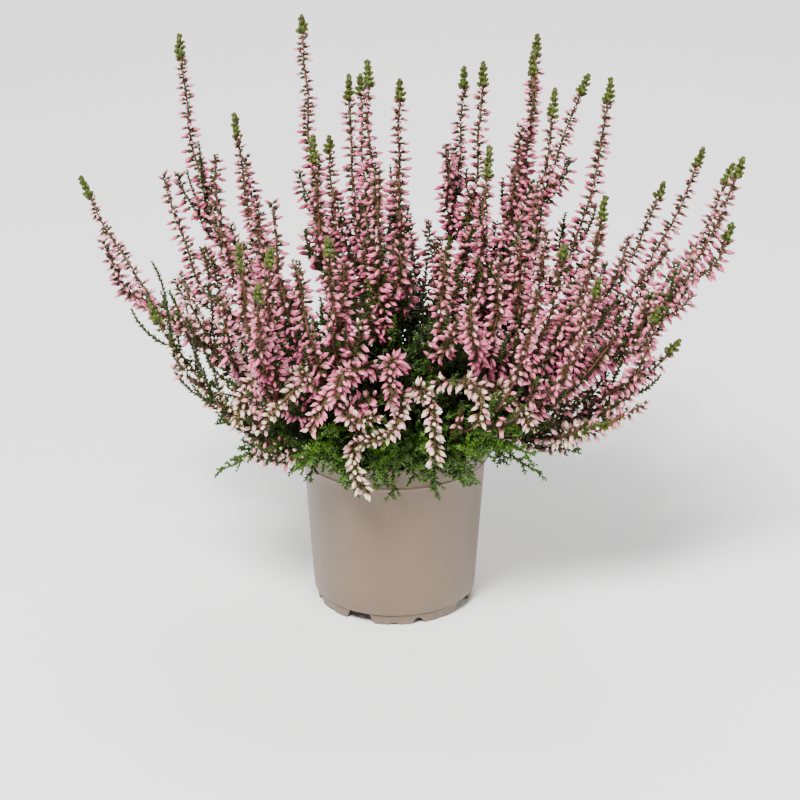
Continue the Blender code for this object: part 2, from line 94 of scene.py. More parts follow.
def setInputs(tree, node, inputs):
    # Each input is a fixed value, or a link where the value is another node's socket.
    for name, value in inputs.items():
        if isinstance(value, bpy.types.NodeSocket):
            tree.links.new(value, node.inputs[name])
        else:
            node.inputs[name].default_value = value


def addNode(tree, kind, settings=None, inputs=None, stops=()):
    # One node with its settings, its inputs and, for a ramp, its stops of (place, sRGB hex).
    node = tree.nodes.new("ShaderNode" + kind)
    for name, value in (settings or {}).items():
        setattr(node, name, value)
    setInputs(tree, node, inputs or {})
    for number, (place, code) in enumerate(stops):
        elements = node.color_ramp.elements
        element = elements[number] if number < len(elements) else elements.new(place)
        element.position, element.color = place, linearColor(code)
    return node


def newMaterial(name):
    material = bpy.data.materials.new(name)
    material.use_nodes = True
    tree = material.node_tree
    return material, tree, tree.nodes["Principled BSDF"]


stripCount = 16  # shades side by side in the colour map of the small parts
sepalCount = 4  # sepal edges across a shade's strip
bandCount = 4  # the map's bands, one for each kind of part
budKind, leafKind, stemKind, heartKind = range(bandCount)


def makeShaded(name, kind, stops, edge, edgeAmount, finish):
    # The map's u picks the shade from stops of (place, base, tip); in the kind's band of v, the
    # way up a part is 4 v less the kind. Colour = base shade to tip shade by that way up,
    # then towards the edge colour where u within its strip comes to one of four sepal edges.
    material, tree, shader = newMaterial(name)
    place = addNode(tree, "UVMap", {"uv_map": "OFBake"})
    split = addNode(tree, "SeparateXYZ", None, {"Vector": place.outputs["UV"]})
    across = split.outputs["X"]
    along = addNode(tree, "Math", {"operation": "MULTIPLY_ADD"},
                    {0: split.outputs["Y"], 1: float(bandCount), 2: -float(kind)})
    rise = addNode(tree, "MapRange", {"interpolation_type": "SMOOTHSTEP"},
                   {"Value": along.outputs[0], "From Min": 0.2, "From Max": 0.95})
    places, bases, tips = zip(*stops)
    base, tip = (addNode(tree, "ValToRGB", None, {"Fac": across}, zip(places, shades))
                 for shades in (bases, tips))
    blend = addNode(tree, "Mix", {"data_type": "RGBA"},
                    {"Factor": rise.outputs["Result"], "A": base.outputs["Color"],
                     "B": tip.outputs["Color"]})
    quarter = addNode(tree, "Math", {"operation": "MULTIPLY"},
                      {0: across, 1: float(stripCount * sepalCount)})
    part = addNode(tree, "Math", {"operation": "PINGPONG"},
                   {0: quarter.outputs[0], 1: 0.5})
    near = addNode(tree, "MapRange", {"interpolation_type": "SMOOTHSTEP"},
                   {"Value": part.outputs[0], "From Min": 0.34, "From Max": 0.0,
                    "To Max": edgeAmount})
    final = addNode(tree, "Mix", {"data_type": "RGBA"},
                    {"Factor": near.outputs["Result"], "A": blend.outputs["Result"],
                     "B": linearColor(edge)})
    setInputs(tree, shader, {"Base Color": final.outputs["Result"], **finish})
    return material


def makeNoisy(name, size, noise, stops, roughness, relief=None, stretch=None, grain=None):
    # Noise on object coordinates picks the colour from the stops, and the roughness where that is
    # a range; its scale is one over its size, here in millimetres. The relief, (strength, metres),
    # raises that noise, or a finer grain of a size of its own.
    material, tree, shader = newMaterial(name)
    place = addNode(tree, "TexCoord").outputs["Object"]
    if stretch:
        drawn = addNode(tree, "Mapping", None, {"Vector": place, "Scale": stretch})
        place = drawn.outputs["Vector"]
    value = addNode(tree, "TexNoise", None,
                    {"Vector": place, "Scale": 1 / (size * metre), **noise}).outputs["Fac"]
    ramp = addNode(tree, "ValToRGB", None, {"Fac": value}, stops)
    if isinstance(roughness, tuple):
        gloss = addNode(tree, "MapRange", None,
                        {"Value": value, "To Min": roughness[0], "To Max": roughness[1]})
        roughness = gloss.outputs["Result"]
    setInputs(tree, shader, {"Base Color": ramp.outputs["Color"], "Roughness": roughness})
    if grain:
        value = addNode(tree, "TexNoise", None,
                        {"Vector": place, "Scale": 1 / (grain * metre), "Detail": 1.0}).outputs["Fac"]
    if relief:
        bump = addNode(tree, "Bump", None,
                       {"Height": value, "Strength": relief[0], "Distance": relief[1]})
        setInputs(tree, shader, {"Normal": bump.outputs["Normal"]})
    return material


# Living sepals of closed heather buds: papery skin, dull sheen, pink that pales to the tip.
budSepals = makeShaded(
    "heatherBudSepals", budKind,
    [(0.0, "#7E0F34", "#D03674"), (0.2, "#A6224C", "#E8588E"), (0.45, "#C04462", "#F48CAE"),
     (0.75, "#CF7C80", "#F8D0CC"), (1.0, "#B79E62", "#FAF0D0")],
    "#FFECF2", 0.24, {"Roughness": 0.5, "Sheen Weight": 0.15})
# Evergreen scale leaves: waxy cuticle, soft highlight, brown bracts, dark old leaves, bright new
# ones and olive tips. The darkest greens also carry painted shade on shoots in the crown's middle.
scaleLeaves = makeShaded(
    "waxyScaleLeaves", leafKind,
    [(0.0, "#2F1D13", "#5A3C29"), (0.14, "#33270F", "#5C5122"), (0.2, "#0A1503", "#132804"),
     (0.45, "#142805", "#244804"), (0.78, "#284A04", "#52800E"), (0.85, "#1C2309", "#3E450B"),
     (1.0, "#272E09", "#535914")],
    "#B9CC6A", 0.06, {"Roughness": 0.5, "Specular IOR Level": 0.35})
# Thin heather bark: grey-brown and cracked on old wood, smooth red-brown on the year's growth.
stemBark = makeShaded(
    "thinHeatherBark", stemKind,
    [(0.0, "#33221A", "#4A3428"), (0.35, "#4A2A20", "#643C2E"), (0.65, "#613026", "#7A4335"),
     (0.8, "#483A20", "#5E5228"), (1.0, "#354315", "#4A6020")],
    "#8A6B58", 0.12, {"Roughness": 0.72})
# The heart of the bush: dead brown needles and old leaves, 2 mm wide, with painted shade that
# makes it almost black between them.
heart = makeNoisy("oldGrowthPaintedShade", 2.0, {"Detail": 4.0, "Roughness": 0.7},
                  [(0.35, "#060803"), (0.6, "#0E1407"), (0.8, "#1E1D0E")], 0.95)
# Injection-moulded recycled polypropylene: even taupe, satin, with a fine moulded grain of 0.4 mm
# and faint flow clouds some 33 mm across.
potPlastic = makeNoisy("mouldedTaupePolypropylene", 33.33, {"Detail": 3.0, "Roughness": 0.5},
                       [(0.3, "#6A5848"), (0.7, "#725F4D")], (0.38, 0.5), (0.12, 0.0001), grain=0.4)
# Moist potting peat: dark matted fibres and crumbs of 1 to 3 mm.
peat = makeNoisy("moistPottingPeat", 2.381, {"Detail": 5.0, "Roughness": 0.65},
                 [(0.3, "#1B130D"), (0.55, "#33261B"), (0.75, "#5A4633")], 0.92, (0.8, 0.001))
# Old heather wood: rough grey-brown bark with fibres about 1 mm wide that run upward.
stockWood = makeNoisy("roughHeatherWood", 1.111, {"Detail": 4.0},
                      [(0.3, "#2B1D15"), (0.6, "#5C4434"), (0.8, "#7F6856")], 0.85,
                      (0.7, 0.0006), stretch=(1.0, 1.0, 0.12))
plantMaterials = [budSepals, scaleLeaves, stemBark, heart]
print("materials made")

# Meshes from arrays


def unit(vectors):
    return vectors / np.maximum(np.linalg.norm(vectors, axis=-1, keepdims=True), 1e-9)


def squareOff(vectors, axis):
    # The part of each vector that is square to its axis, one long.
    return unit(vectors - axis * (vectors * axis).sum(-1, keepdims=True))


def between(value, start, end):
    # How far a value is from start to end: (value - start) / (end - start), held to 0 and 1.
    return np.clip((value - start) / (end - start), 0, 1)


def addPiece(name, parts, materials, nodes, withMap=True):
    # Joins the parts, each an array of points, one of faces and one of map places, to one mesh.
    mesh = bpy.data.meshes.new(name)
    starts = np.cumsum([0] + [len(part["points"]) for part in parts])
    counts = [len(part["faces"]) for part in parts]
    points = np.concatenate([part["points"] for part in parts]) * metre
    corners = np.concatenate([part["faces"] + start for part, start in zip(parts, starts)])
    mesh.vertices.add(len(points))
    mesh.vertices.foreach_set("co", points.astype(np.float32).ravel())
    mesh.loops.add(corners.size)
    mesh.loops.foreach_set("vertex_index", corners.astype(np.int32).ravel())
    mesh.polygons.add(len(corners))
    mesh.polygons.foreach_set("loop_start", np.arange(0, corners.size, 3, dtype=np.int32))
    kinds = np.repeat([part["kind"] for part in parts], counts)
    mesh.polygons.foreach_set("material_index", kinds.astype(np.int32))
    mesh.polygons.foreach_set("use_smooth", np.repeat([part["smooth"] for part in parts], counts))
    if withMap:
        layer = mesh.uv_layers.new(name="OFBake")
        flat = np.concatenate([part["map"].reshape(-1, 2) for part in parts])
        layer.uv.foreach_set("vector", flat.astype(np.float32).ravel())
    mesh.update(calc_edges=True)
    for material in materials:
        mesh.materials.append(material)
    piece = addObject(name, mesh)
    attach(piece, "root")
    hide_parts(*nodes)
    return piece


def mapPlace(kind, strip, around, along, inset=0.05):
    # u = the strip's left edge plus its share around the shape, v = the kind's band plus the share
    # along it; both keep clear of the edges by the inset.
    u, v = ((start + inset + (1 - 2 * inset) * share) / count
            for start, share, count in ((strip, around, stripCount), (kind, along, bandCount)))
    return np.stack(np.broadcast_arrays(u, v), axis=-1)


def ringWalls(first, last, corners):
    # Two triangles for each side between one ring and the next, (a, b, c) and (a, c, d), with a and
    # b on the lower ring, c and d on the upper; and each corner's share of the way around.
    i = np.arange(corners)
    j, here = (i + 1) % corners, i / corners
    there = (i + 1) / corners
    step = np.arange(first, last)[:, None] * corners
    a, b, c, d = step + i, step + j, step + corners + j, step + corners + i
    faces = np.concatenate([np.stack([a, b, c], -1), np.stack([a, c, d], -1)]).reshape(-1, 3)
    around = np.concatenate([np.tile(np.stack(way, -1), (last - first, 1))
                             for way in ((here, there, there), (here, there, here))])
    return faces, around


def closedShape(rings, corners, wobble=0.0):
    # A spindle along z: a point at 0, rings of (height, radius), a point at 1. Every second corner
    # of a ring is drawn in by the wobble. Its places are (around, height) at each face's corners.
    i = np.arange(corners)
    j, near, angle = (i + 1) % corners, 1 - wobble * (i % 2), 2 * math.pi * i / corners
    points = np.concatenate([[(0, 0, 0)]] + [
        np.stack([radius * near * np.cos(angle), radius * near * np.sin(angle),
                  np.full(corners, height)], axis=1) for height, radius in rings] + [[(0, 0, 1)]])
    walls, around = ringWalls(0, len(rings) - 1, corners)
    last = len(points) - 1
    top = last - corners
    faces = np.concatenate([walls + 1, np.stack([0 * i, 1 + j, 1 + i], -1),
                            np.stack([top + i, top + j, last + 0 * i], -1)])
    fan = np.stack([i / corners, (i + 1) / corners, i / corners], -1)
    around = np.concatenate([around, fan, fan])
    return {"points": points, "faces": faces, "places": np.stack([around, points[:, 2][faces]], -1)}


def leafShape(points, faces, around):
    # A shape from its triangles and each corner's share of the way around.
    points, faces = np.array(points, float), np.array(faces)
    return {"points": points, "faces": faces, "places": np.stack([around, points[:, 2][faces]], -1)}


def stamp(shape, kind, place, axis, side, length, width, strip, smooth=False):
    # Copies a shape: place + z length axis + x width side + y width (axis x side), per copy.
    length, width, strip = (np.broadcast_to(value, len(place)) for value in (length, width, strip))
    local = shape["points"]
    points = (place[:, None]
              + local[None, :, 2:3] * (length[:, None] * axis)[:, None]
              + local[None, :, 0:1] * (width[:, None] * side)[:, None]
              + local[None, :, 1:2] * (width[:, None] * np.cross(axis, side))[:, None])
    faces = shape["faces"] + (np.arange(len(place)) * len(local))[:, None, None]
    where = mapPlace(kind, strip[:, None, None], shape["places"][..., 0], shape["places"][..., 1])
    return {"points": points.reshape(-1, 3), "faces": faces.reshape(-1, 3),
            "map": where.reshape(-1, 3, 2), "kind": kind, "smooth": smooth}


def tubes(paths, first, last, corners, strip):
    # Round stems whose radius goes evenly from first to last: each path point gets a ring, point +
    # radius (cos side + sin other), and fans of triangles close both ends.
    count, steps, _ = paths.shape
    side, other = sideways(paths, unit(np.gradient(paths, axis=1)))
    angle = 2 * math.pi * np.arange(corners)[:, None] / corners
    ring = np.cos(angle) * side[:, :, None] + np.sin(angle) * other[:, :, None]
    points = paths[:, :, None] + np.linspace(first, last, steps)[:, None, None] * ring
    walls, around = ringWalls(0, steps - 1, corners)
    k, top = np.arange(1, corners - 1), (steps - 1) * corners
    caps = np.concatenate([np.stack([0 * k, k + 1, k], -1), top + np.stack([0 * k, k, k + 1], -1)])
    faces = np.concatenate([walls, caps])
    height = (faces // corners) / (steps - 1)
    height[len(walls):] += (0.0, 0.004, -0.004)
    around = np.concatenate([around, np.tile((0.2, 0.8, 0.5), (len(caps), 1))])
    start = (np.arange(count) * steps * corners)[:, None, None]
    where = mapPlace(stemKind, strip, around + 0 * start, np.clip(height, 0, 1))
    return {"points": points.reshape(-1, 3), "faces": (faces + start).reshape(-1, 3),
            "map": where.reshape(-1, 3, 2), "kind": stemKind, "smooth": True}


def sideways(paths, ahead):
    # Two directions square to each path: the normal of the path's own plane, kept square to the
    # way ahead, and the cross of both. A path that is almost straight takes a fixed plane.
    chord = paths[:, -1] - paths[:, 0]
    across = np.cross(chord, paths[:, paths.shape[1] // 2] - paths[:, 0])
    weak = np.linalg.norm(across, axis=1) < 0.02 * np.linalg.norm(chord, axis=1) ** 2
    across = np.where(weak[:, None], np.cross(chord, (0.3, 1.0, 0.2)), across)
    side = squareOff(unit(across)[:, None] + 0 * ahead, ahead)
    return side, np.cross(ahead, side)


def bezier(controls, t):
    # Cubic curves: the four controls weighted by (1-t)^3, 3t(1-t)^2, 3t^2(1-t) and t^3.
    weights = np.stack([(1 - t) ** 3, 3 * t * (1 - t) ** 2, 3 * t**2 * (1 - t), t**3])
    return np.einsum("kt,ckd->ctd", weights, controls), weights


def evenPaths(controls, steps):
    # The curves cut to steps of equal length, and the length of each.
    fine, _ = bezier(controls, np.linspace(0, 1, 4 * steps))
    run = np.concatenate([np.zeros((len(fine), 1)),
                          np.cumsum(np.linalg.norm(np.diff(fine, axis=1), axis=2), axis=1)], axis=1)
    share = np.linspace(0, 1, steps)
    paths = np.array([[np.interp(share * far[-1], far, line[:, axis]) for axis in range(3)]
                      for far, line in zip(run, fine)]).transpose(0, 2, 1)
    return paths, run[:, -1]


def readAlong(field, which, share):
    # A field's values at shares of the way along its paths, linear from point to point.
    at = share * (field.shape[1] - 1)
    low = np.minimum(at.astype(int), field.shape[1] - 2)
    part = (at - low)[..., None]
    return field[which, low] * (1 - part) + field[which, low + 1] * part


def onPaths(paths, lengths, which, distance, angle=0.0):
    # Place, way ahead and way out at a distance along each path named by which. The way out is
    # cos(angle) side + sin(angle) other.
    ahead = unit(np.gradient(paths, axis=1))
    fields = (paths, ahead, sideways(paths, ahead)[0])
    share = np.clip(distance / lengths[which], 0, 1)
    place, forward, side = (readAlong(field, which, share) for field in fields)
    forward = unit(forward)
    side, turn = squareOff(side, forward), (angle + 0 * distance)[:, None]
    return place, forward, np.cos(turn) * side + np.sin(turn) * np.cross(forward, side)


def countAlong(span, pitch, least, each=1):
    # Things a pitch apart along each path's span, one or more at each place: the path that each is
    # on, its place's number and how many places its path has.
    counts = np.maximum((span / pitch).astype(int), least)
    which = np.repeat(np.arange(len(counts)), counts)
    level = np.arange(len(which)) - np.repeat(np.cumsum(counts) - counts, counts)
    return tuple(np.repeat(value, each) for value in (which, level, counts[which]))


def crosswise(level):
    # Angles of pairs: one opposite the other, every second pair a quarter turn round.
    return math.pi / 2 * (level % 2) + math.pi * (np.arange(len(level)) % 2)


def pickStrips(mean, spread, count, least, most):
    # Whole shades at random round a mean, held to the least and the most.
    return np.clip(np.round(random.normal(mean, spread, count)), least, most)


# Where the flower spikes stand: the solids' own layout, worked out again from the same values.
# Each spray: its leading spike, then side shoots. A spike is its tip's x, y and z, the length of
# its green tip and, for one that hangs or leans its own way, its tip's heading. A side shoot has
# before them the share of the leading spike's length at which it leaves.
sprays = [
    # Left side
    [(-186, 95, 226, 14), (0.30, -126, 15, 176, 0), (0.35, -165, -10, 227, 0)],
    [(-138, -34, 197, 12)],
    [(-120, -30, 214, 0), (0.25, -95, -70, 214, 0)],
    [(-133, 40, 249, 0)],
    [(-126, 98, 313, 14, (-0.08, 0.15, 1.0))],
    [(-102, -10, 269, 0)],
    [(-93, 70, 274, 14), (0.30, -89, 105, 236, 0)],
    [(-78, 20, 237, 0)],
    [(-67, -50, 265, 0)],
    [(-84, -90, 255, 16), (0.30, -66, -95, 255, 12), (0.35, -73, -108, 239, 12)],
    # Left of the middle
    [(-54, 95, 326, 10, (-0.05, 0.2, 1.0))],
    [(-45, -25, 294, 16)],
    [(-38, 60, 264, 10)],
    [(-26, 45, 306, 14)],
    [(-20, 100, 288, 12)],
    [(-15, 10, 326, 14)],
    [(-9, -40, 280, 0)],
    [(3, 85, 290, 12)],
    [(3, -10, 270, 0)],
    [(-36, -85, 257, 12), (0.35, -28, -60, 233, 0)],
    [(10, 50, 207, 0)],
    [(-54, -75, 239, 0)],
    # Right of the middle
    [(41, 105, 291, 12), (0.45, 30, 70, 256, 0)],
    [(51, 50, 312, 14)],
    [(53, -15, 284, 18)],
    [(73, 60, 270, 0), (0.15, 50, 70, 200, 0)],
    [(84, 105, 311, 12, (0.06, 0.2, 1.0)), (0.30, 80, 65, 314, 14, (0.06, 0.1, 1.0))],
    [(90, 5, 311, 16)],
    [(113, 85, 293, 12, (0.42, 0.2, 1.0))],
    [(123, 30, 309, 14)],
    [(118, -25, 258, 14), (0.35, 132, -20, 232, 0)],
    [(114, -60, 255, 0), (0.35, 112, -80, 231, 12)],
    [(85, -40, 245, 0), (0.35, 70, -30, 238, 0)],
    [(94, -60, 243, 8)],
    # Right side
    [(178, 45, 262, 12), (0.55, 158, 22, 210, 0)],
    [(158, 70, 232, 10)],
    [(189, -18, 275, 12)],
    [(189, -72, 298, 12), (0.60, 185, -66, 258, 10)],
    [(160, -50, 182, 10), (0.45, 146, -60, 206, 10)],
    [(140, -70, 152, 0), (0.35, 122, -62, 136, 8)],
    # Front of the right side
    [(28, -50, 236, 0)],
    [(58, -75, 239, 0), (0.30, 41, -100, 227, 0)],
    [(79, -95, 230, 0)],
    [(105, -85, 203, 0), (0.30, 126, -55, 190, 0)],
    # Hanging and lying down in front
    [(-47, -100, 149, 0, (-0.3, -0.2, -1.0)), (0.30, -31, -96, 166, 0, (0.0, -0.2, -1.0))],
    [(-1, -92, 162, 0, (0.1, -0.2, -1.0))],
    [(-9, -106, 160, 0, (1.0, -0.2, 0.2))],
    [(-20, -104, 143, 0, (-1.0, -0.1, -0.2))],
    [(22, -98, 127, 0, (-0.1, -0.1, -1.0))],
    [(-14, -79, 101, 0, (0.7, -0.1, -0.8))],
    [(46, -95, 150, 0, (-0.3, -0.4, -0.8)), (0.30, 78, -82, 140, 0, (0.5, -0.3, -0.7))],
    [(-73, -95, 145, 0, (-0.1, -0.3, -1.0)), (0.30, -88, -75, 141, 0, (-0.4, -0.2, -0.8))],
    # Low at the back
    [(-95, 98, 185, 0), (0.25, -62, 106, 150, 0)],
    [(-18, 108, 178, 0), (0.25, 14, 107, 146, 0)],
    [(55, 106, 188, 0), (0.25, 84, 92, 150, 0)],
    [(112, 84, 165, 0)],
]

layout = {
    "crownCentre": np.array((0.0, 0.0, 114.0)), "crownAxes": np.array((50.0, 50.0, 42.0)),
    "stemRadius": 1.1, "budReach": 6.2, "leafReach": 2.7,  # how far a spike's parts reach sideways
    "bareLength": 24.0, "leastRootHeight": 112.0,
    "leave": 0.40,  # how far a spike keeps the way it leaves, as a share of its length
    "sight": np.array((0.0, 0.915, -0.404)),  # from the camera to the plant
    "gap": 1.0, "crownRoom": 12.0,  # between two spikes, and between the crown and buds
    "follow": 0.9,  # the share of each push that is followed
    "sink": 0.5, "mostSink": 9.0,  # the same for a tip along the line of sight, and its limit
    "rootWays": {2: (-0.66, -0.75, -0.06)},  # sprays that are not rooted under their tips
    "least": (-186.0, -107.0, 90.0), "most": (188.0, 107.0, 330.0),  # side shoots end inside these
}


def onCrown(points):
    # The crown's egg: points scaled to a ball, pushed to its skin and scaled back; its normal too.
    scaled = unit((points - layout["crownCentre"]) / layout["crownAxes"])
    return layout["crownCentre"] + layout["crownAxes"] * scaled, unit(scaled / layout["crownAxes"])


def listSpikes():
    # A row for each spike: its spray, its leader's row, the share where it leaves that, its tip's
    # place, the length of its green tip and its heading.
    rows = []
    for spray, shoots in enumerate(sprays):
        leader = len(rows)
        for shoot in shoots:
            first = shoot is shoots[0]
            share, parent, rest = (0.0, -1, shoot) if first else (shoot[0], leader, shoot[1:])
            heading = np.array(rest[4]) if len(rest) > 4 else None
            rows.append((spray, parent, share, np.array(rest[:3], float), rest[3], heading))
    return rows


def firstRoot(number, tip, heading):
    # On the tip's bearing, its slope less 30 degrees times the sine of twice the slope; 38 degrees
    # up the crown for a spike that hangs.
    if number in layout["rootWays"]:
        return layout["crownCentre"] + layout["rootWays"][number]
    away = tip - layout["crownCentre"]
    reach = math.hypot(away[0], away[1])
    slope = math.atan2(away[2], reach)
    slope = max(slope - math.radians(30) * math.sin(2 * slope), math.radians(-6))
    if heading is not None and heading[2] < 0.5:
        slope = math.radians(38)
    flat = away[:2] / max(reach, 1e-6) * math.cos(slope)
    return np.array((flat[0], flat[1], math.sin(slope))) + layout["crownCentre"]


def sideStart(curve, share, tip):
    # A side shoot leaves its leader along 0.7 of the leader's way plus the way to its own tip.
    points, _ = bezier(curve[None], np.array([share, share + 0.02]))
    along = unit(points[0, 1] - points[0, 0])
    return points[0, 0], unit(0.7 * along + unit(tip - points[0, 0]))


def shapeCurve(root, leaving, tip, heading):
    # Four controls: the root, a step the way it leaves, a step back from the tip against its
    # heading, the tip. Steep spikes come to their tips more upright and over a longer stretch.
    length = np.linalg.norm(tip - root)
    arrive, bend = unit(heading if heading is not None else upward), 0.62
    if heading is None:
        lean = math.hypot(tip[0] - root[0], tip[1] - root[1])
        steep = np.clip((tip[2] - root[2]) / max(lean, 1.0) - 1.0, 0, 1)
        rise = np.clip((tip[2] - root[2]) / 90, 0.1, 1.3) + 1.6 * steep
        arrive, bend = unit(unit(tip - root) + rise * upward), 0.42 + 0.18 * steep
    first = root + layout["leave"] * length * leaving
    return np.array((root, first, tip - bend * length * arrive, tip))


def reachAlong(rows, t, lengths):
    # How far each spike reaches from its middle line: bare stem, buds, green tip.
    along = t * lengths[:, None]
    green = lengths[:, None] - np.array([[row[4]] for row in rows])
    far = np.where(along < layout["bareLength"] - 3, layout["stemRadius"] + 0.6, layout["budReach"])
    return np.where(along > green + 2, layout["leafReach"] + 0.5, far)


def layOutSpikes(rounds=160, steps=18):
    # In each round every two spikes closer than their reaches push each other apart: each point
    # moves by the shortfall along the line between them, shared out to the curve's controls.
    rows = listSpikes()
    curves = np.zeros((len(rows), 4, 3))
    for i, (spray, parent, share, tip, green, heading) in enumerate(rows):
        if parent < 0:
            root, normal = onCrown(firstRoot(spray + 1, tip, heading)[None])
            curves[i] = shapeCurve(root[0], normal[0], tip, heading)
        else:
            curves[i] = shapeCurve(*sideStart(curves[parent], share, tip), tip, heading)
    tips = np.array([row[3] for row in rows])
    depth = np.zeros(len(rows))
    t = np.linspace(0, 1, steps)
    owner = np.repeat([row[0] for row in rows], steps)
    other = owner[:, None] != owner[None]
    for _ in range(rounds):
        points, weights = bezier(curves, t)
        lengths = np.linalg.norm(np.diff(points, axis=1), axis=2).sum(1)
        flat, reach = points.reshape(-1, 3), reachAlong(rows, t, lengths).reshape(-1)
        square = (flat**2).sum(1)
        distance = np.sqrt(np.maximum(square[:, None] + square[None] - 2 * flat @ flat.T, 1e-6))
        short = np.clip(reach[:, None] + reach[None] + layout["gap"] - distance, 0, None) * other
        pull = short / distance
        push = flat * pull.sum(1)[:, None] - pull @ flat
        push /= np.maximum((short > 0).sum(1), 1)[:, None]
        inside, normal = onCrown(flat)
        height = ((flat - inside) * normal).sum(1)
        room = np.where(reach > layout["stemRadius"] + 1, reach + layout["crownRoom"], 0.0)
        push += normal * np.clip(room - height, 0, None)[:, None]
        push = push.reshape(points.shape)
        move = np.einsum("kt,ctd->ckd", weights, push) / weights.sum(1)[None, :, None]
        curves[:, 2] += layout["follow"] * move[:, 2]
        curves[:, 0] += layout["follow"] * (move[:, 0] + move[:, 1])
        depth = depth + layout["sink"] * move[:, 3] @ layout["sight"]
        depth = np.clip(depth, -layout["mostSink"], layout["mostSink"])
        curves[:, 3] = tips + depth[:, None] * layout["sight"]
        for i, (spray, parent, share, tip, green, heading) in enumerate(rows):
            span = layout["leave"] * np.linalg.norm(tip - curves[i, 0])
            if parent < 0:
                root, leaving = onCrown(curves[i, 0][None])
                root[0, 2] = max(root[0, 2], layout["leastRootHeight"])
                root, leaving = onCrown(root)
                curves[i, 0], curves[i, 1] = root[0], root[0] + span * leaving[0]
            else:
                start, leaving = sideStart(curves[parent], share, tip)
                curves[i, 0], curves[i, 1] = start, start + span * leaving
    return rows, curves


spikeRows, spikeCurves = layOutSpikes()
print("spikes laid out:", len(spikeRows))

# Flower sprays

goldenAngle = 2.399963  # from one side shoot to the next round a stem, in radians
spikeSteps, shootSteps = 40, 12  # points along a spike's path and a side shoot's
hangingSprays = range(45, 53)  # the numbers of those that hang or lie down in front
buddedSpray = 51  # no leaves replace its buds

spikeForm = {
    "stem": (1.0, 0.5), "shootStem": (0.6, 0.35), "twigStem": (0.5, 0.3),  # radii at base and tip
    # From one pair of buds to the next, at the foot and at the tip of a stem.
    "pitches": (1.9, 2.65), "hangingPitches": (1.55, 1.65), "shootPitches": (2.2, 2.7),
    "budLength": 5.95, "budWidth": 1.36,  # length and half width
    "stalk": 2.1, "bract": 3.5,  # lengths of a bud's stalk and of its two bracts
    "stemLeafPitch": 1.6, "stemLeaf": 2.9,  # the small dark leaves between the buds
    "lobe": 4.4, "lobeWidth": 1.4, "lobePitch": 1.6,  # the lobes of a blunt green tip
    "shootPitch": 20.0, "shootLength": 34.0,  # budded side shoots in the lower half
    "twigPitch": 14.0, "twigLength": 27.0,  # leafy side shoots among them
    "leafShootPitch": 4.4, "leafShootLength": 11.5,  # short leafy side shoots from the root up
    # What some sprays have of their own, by number: pitches of budded and of leafy side shoots, how
    # far up these go, how white the buds are and the share of buds kept.
    "closer": {2: 22, 4: 15, 5: 15, 6: 15, 27: 15, 28: 16, 29: 16, 35: 13, 36: 13, 37: 13, 38: 14,
               39: 12, 40: 10, 44: 14},
    "bushier": {1: 6.5, 2: 4.8, 3: 5.5, 4: 9.5, 5: 11, 6: 10, 8: 12, 9: 11, 10: 11, 39: 9, 40: 9,
                42: 10, 43: 9, 44: 8, 52: 8},
    "leafyShare": {1: 0.55, 2: 0.85, 3: 0.65, 5: 0.6, 17: 0.6, 19: 0.6, 21: 0.7, 23: 0.6, 27: 0.6,
                   29: 0.6, 37: 0.6, 38: 0.6, 39: 0.65, 40: 0.6},
    "pale": {2: 0.6, 6: 0.25, 9: 0.0, 10: 0.05, 20: 0.05, 22: 0.0, 39: 0.3, 40: 0.42, 44: 0.25,
             45: 0.18, 46: -0.05, 47: 0.45, 48: 0.85, 49: 0.8, 50: 0.75, 51: 0.95, 52: 0.85},
    "fewer": {1: 0.9, 3: 0.82, 6: 0.78, 8: 0.77, 9: 0.75, 10: 0.75, 12: 0.88, 20: 0.78, 22: 0.74,
              39: 0.9, 40: 0.86, 44: 0.86, 51: 0.6, 52: 0.6},
}
# From leaf to leaf, a leaf's length, how far it leans out, its half width as a share of its length,
# and how much it closes at the end.
shootLook = {"pitch": 1.3, "leaf": 3.0, "spread": 1.0, "broad": 0.609, "close": 0.25}
foliageLook = {"pitch": 1.4, "leaf": 2.7, "spread": 0.95, "broad": 0.63, "close": 0.2}

budShape = closedShape([(0.2, 0.82), (0.56, 0.96)], 6, 0.12)
lobe = closedShape([(0.3, 0.8), (0.8, 0.9)], 5, 0.15)
cup = closedShape([(0.55, 1.0)], 4)
# A kite has its root and tip on the line and two side corners pushed out from it. A thorn has three
# base corners round its root, drawn to one tip.
kite = leafShape([(0, 0, 0), (0.45, -0.6, 0.42), (-0.45, -0.6, 0.42), (0, 0, 1)],
                 [(0, 1, 2), (2, 1, 3), (0, 2, 3), (0, 3, 1)],
                 [(0.5, 1, 0), (0, 1, 0.5), (0.5, 0.1, 0.3), (0.5, 0.7, 0.9)])
thorn = leafShape([(0.5, 0, 0), (-0.5, 0, 0), (0, -0.38, 0.1), (0, 0, 1)],
                  [(0, 2, 1), (0, 1, 3), (2, 0, 3), (1, 2, 3)],
                  [(1, 0.5, 0), (1, 0, 0.5), (0.5, 1, 0.5), (0, 0.5, 0.5)])


def turnAway(direction, amount):
    # Each direction tipped by a random vector of that size, one long again.
    return unit(direction + amount * random.normal(size=direction.shape))


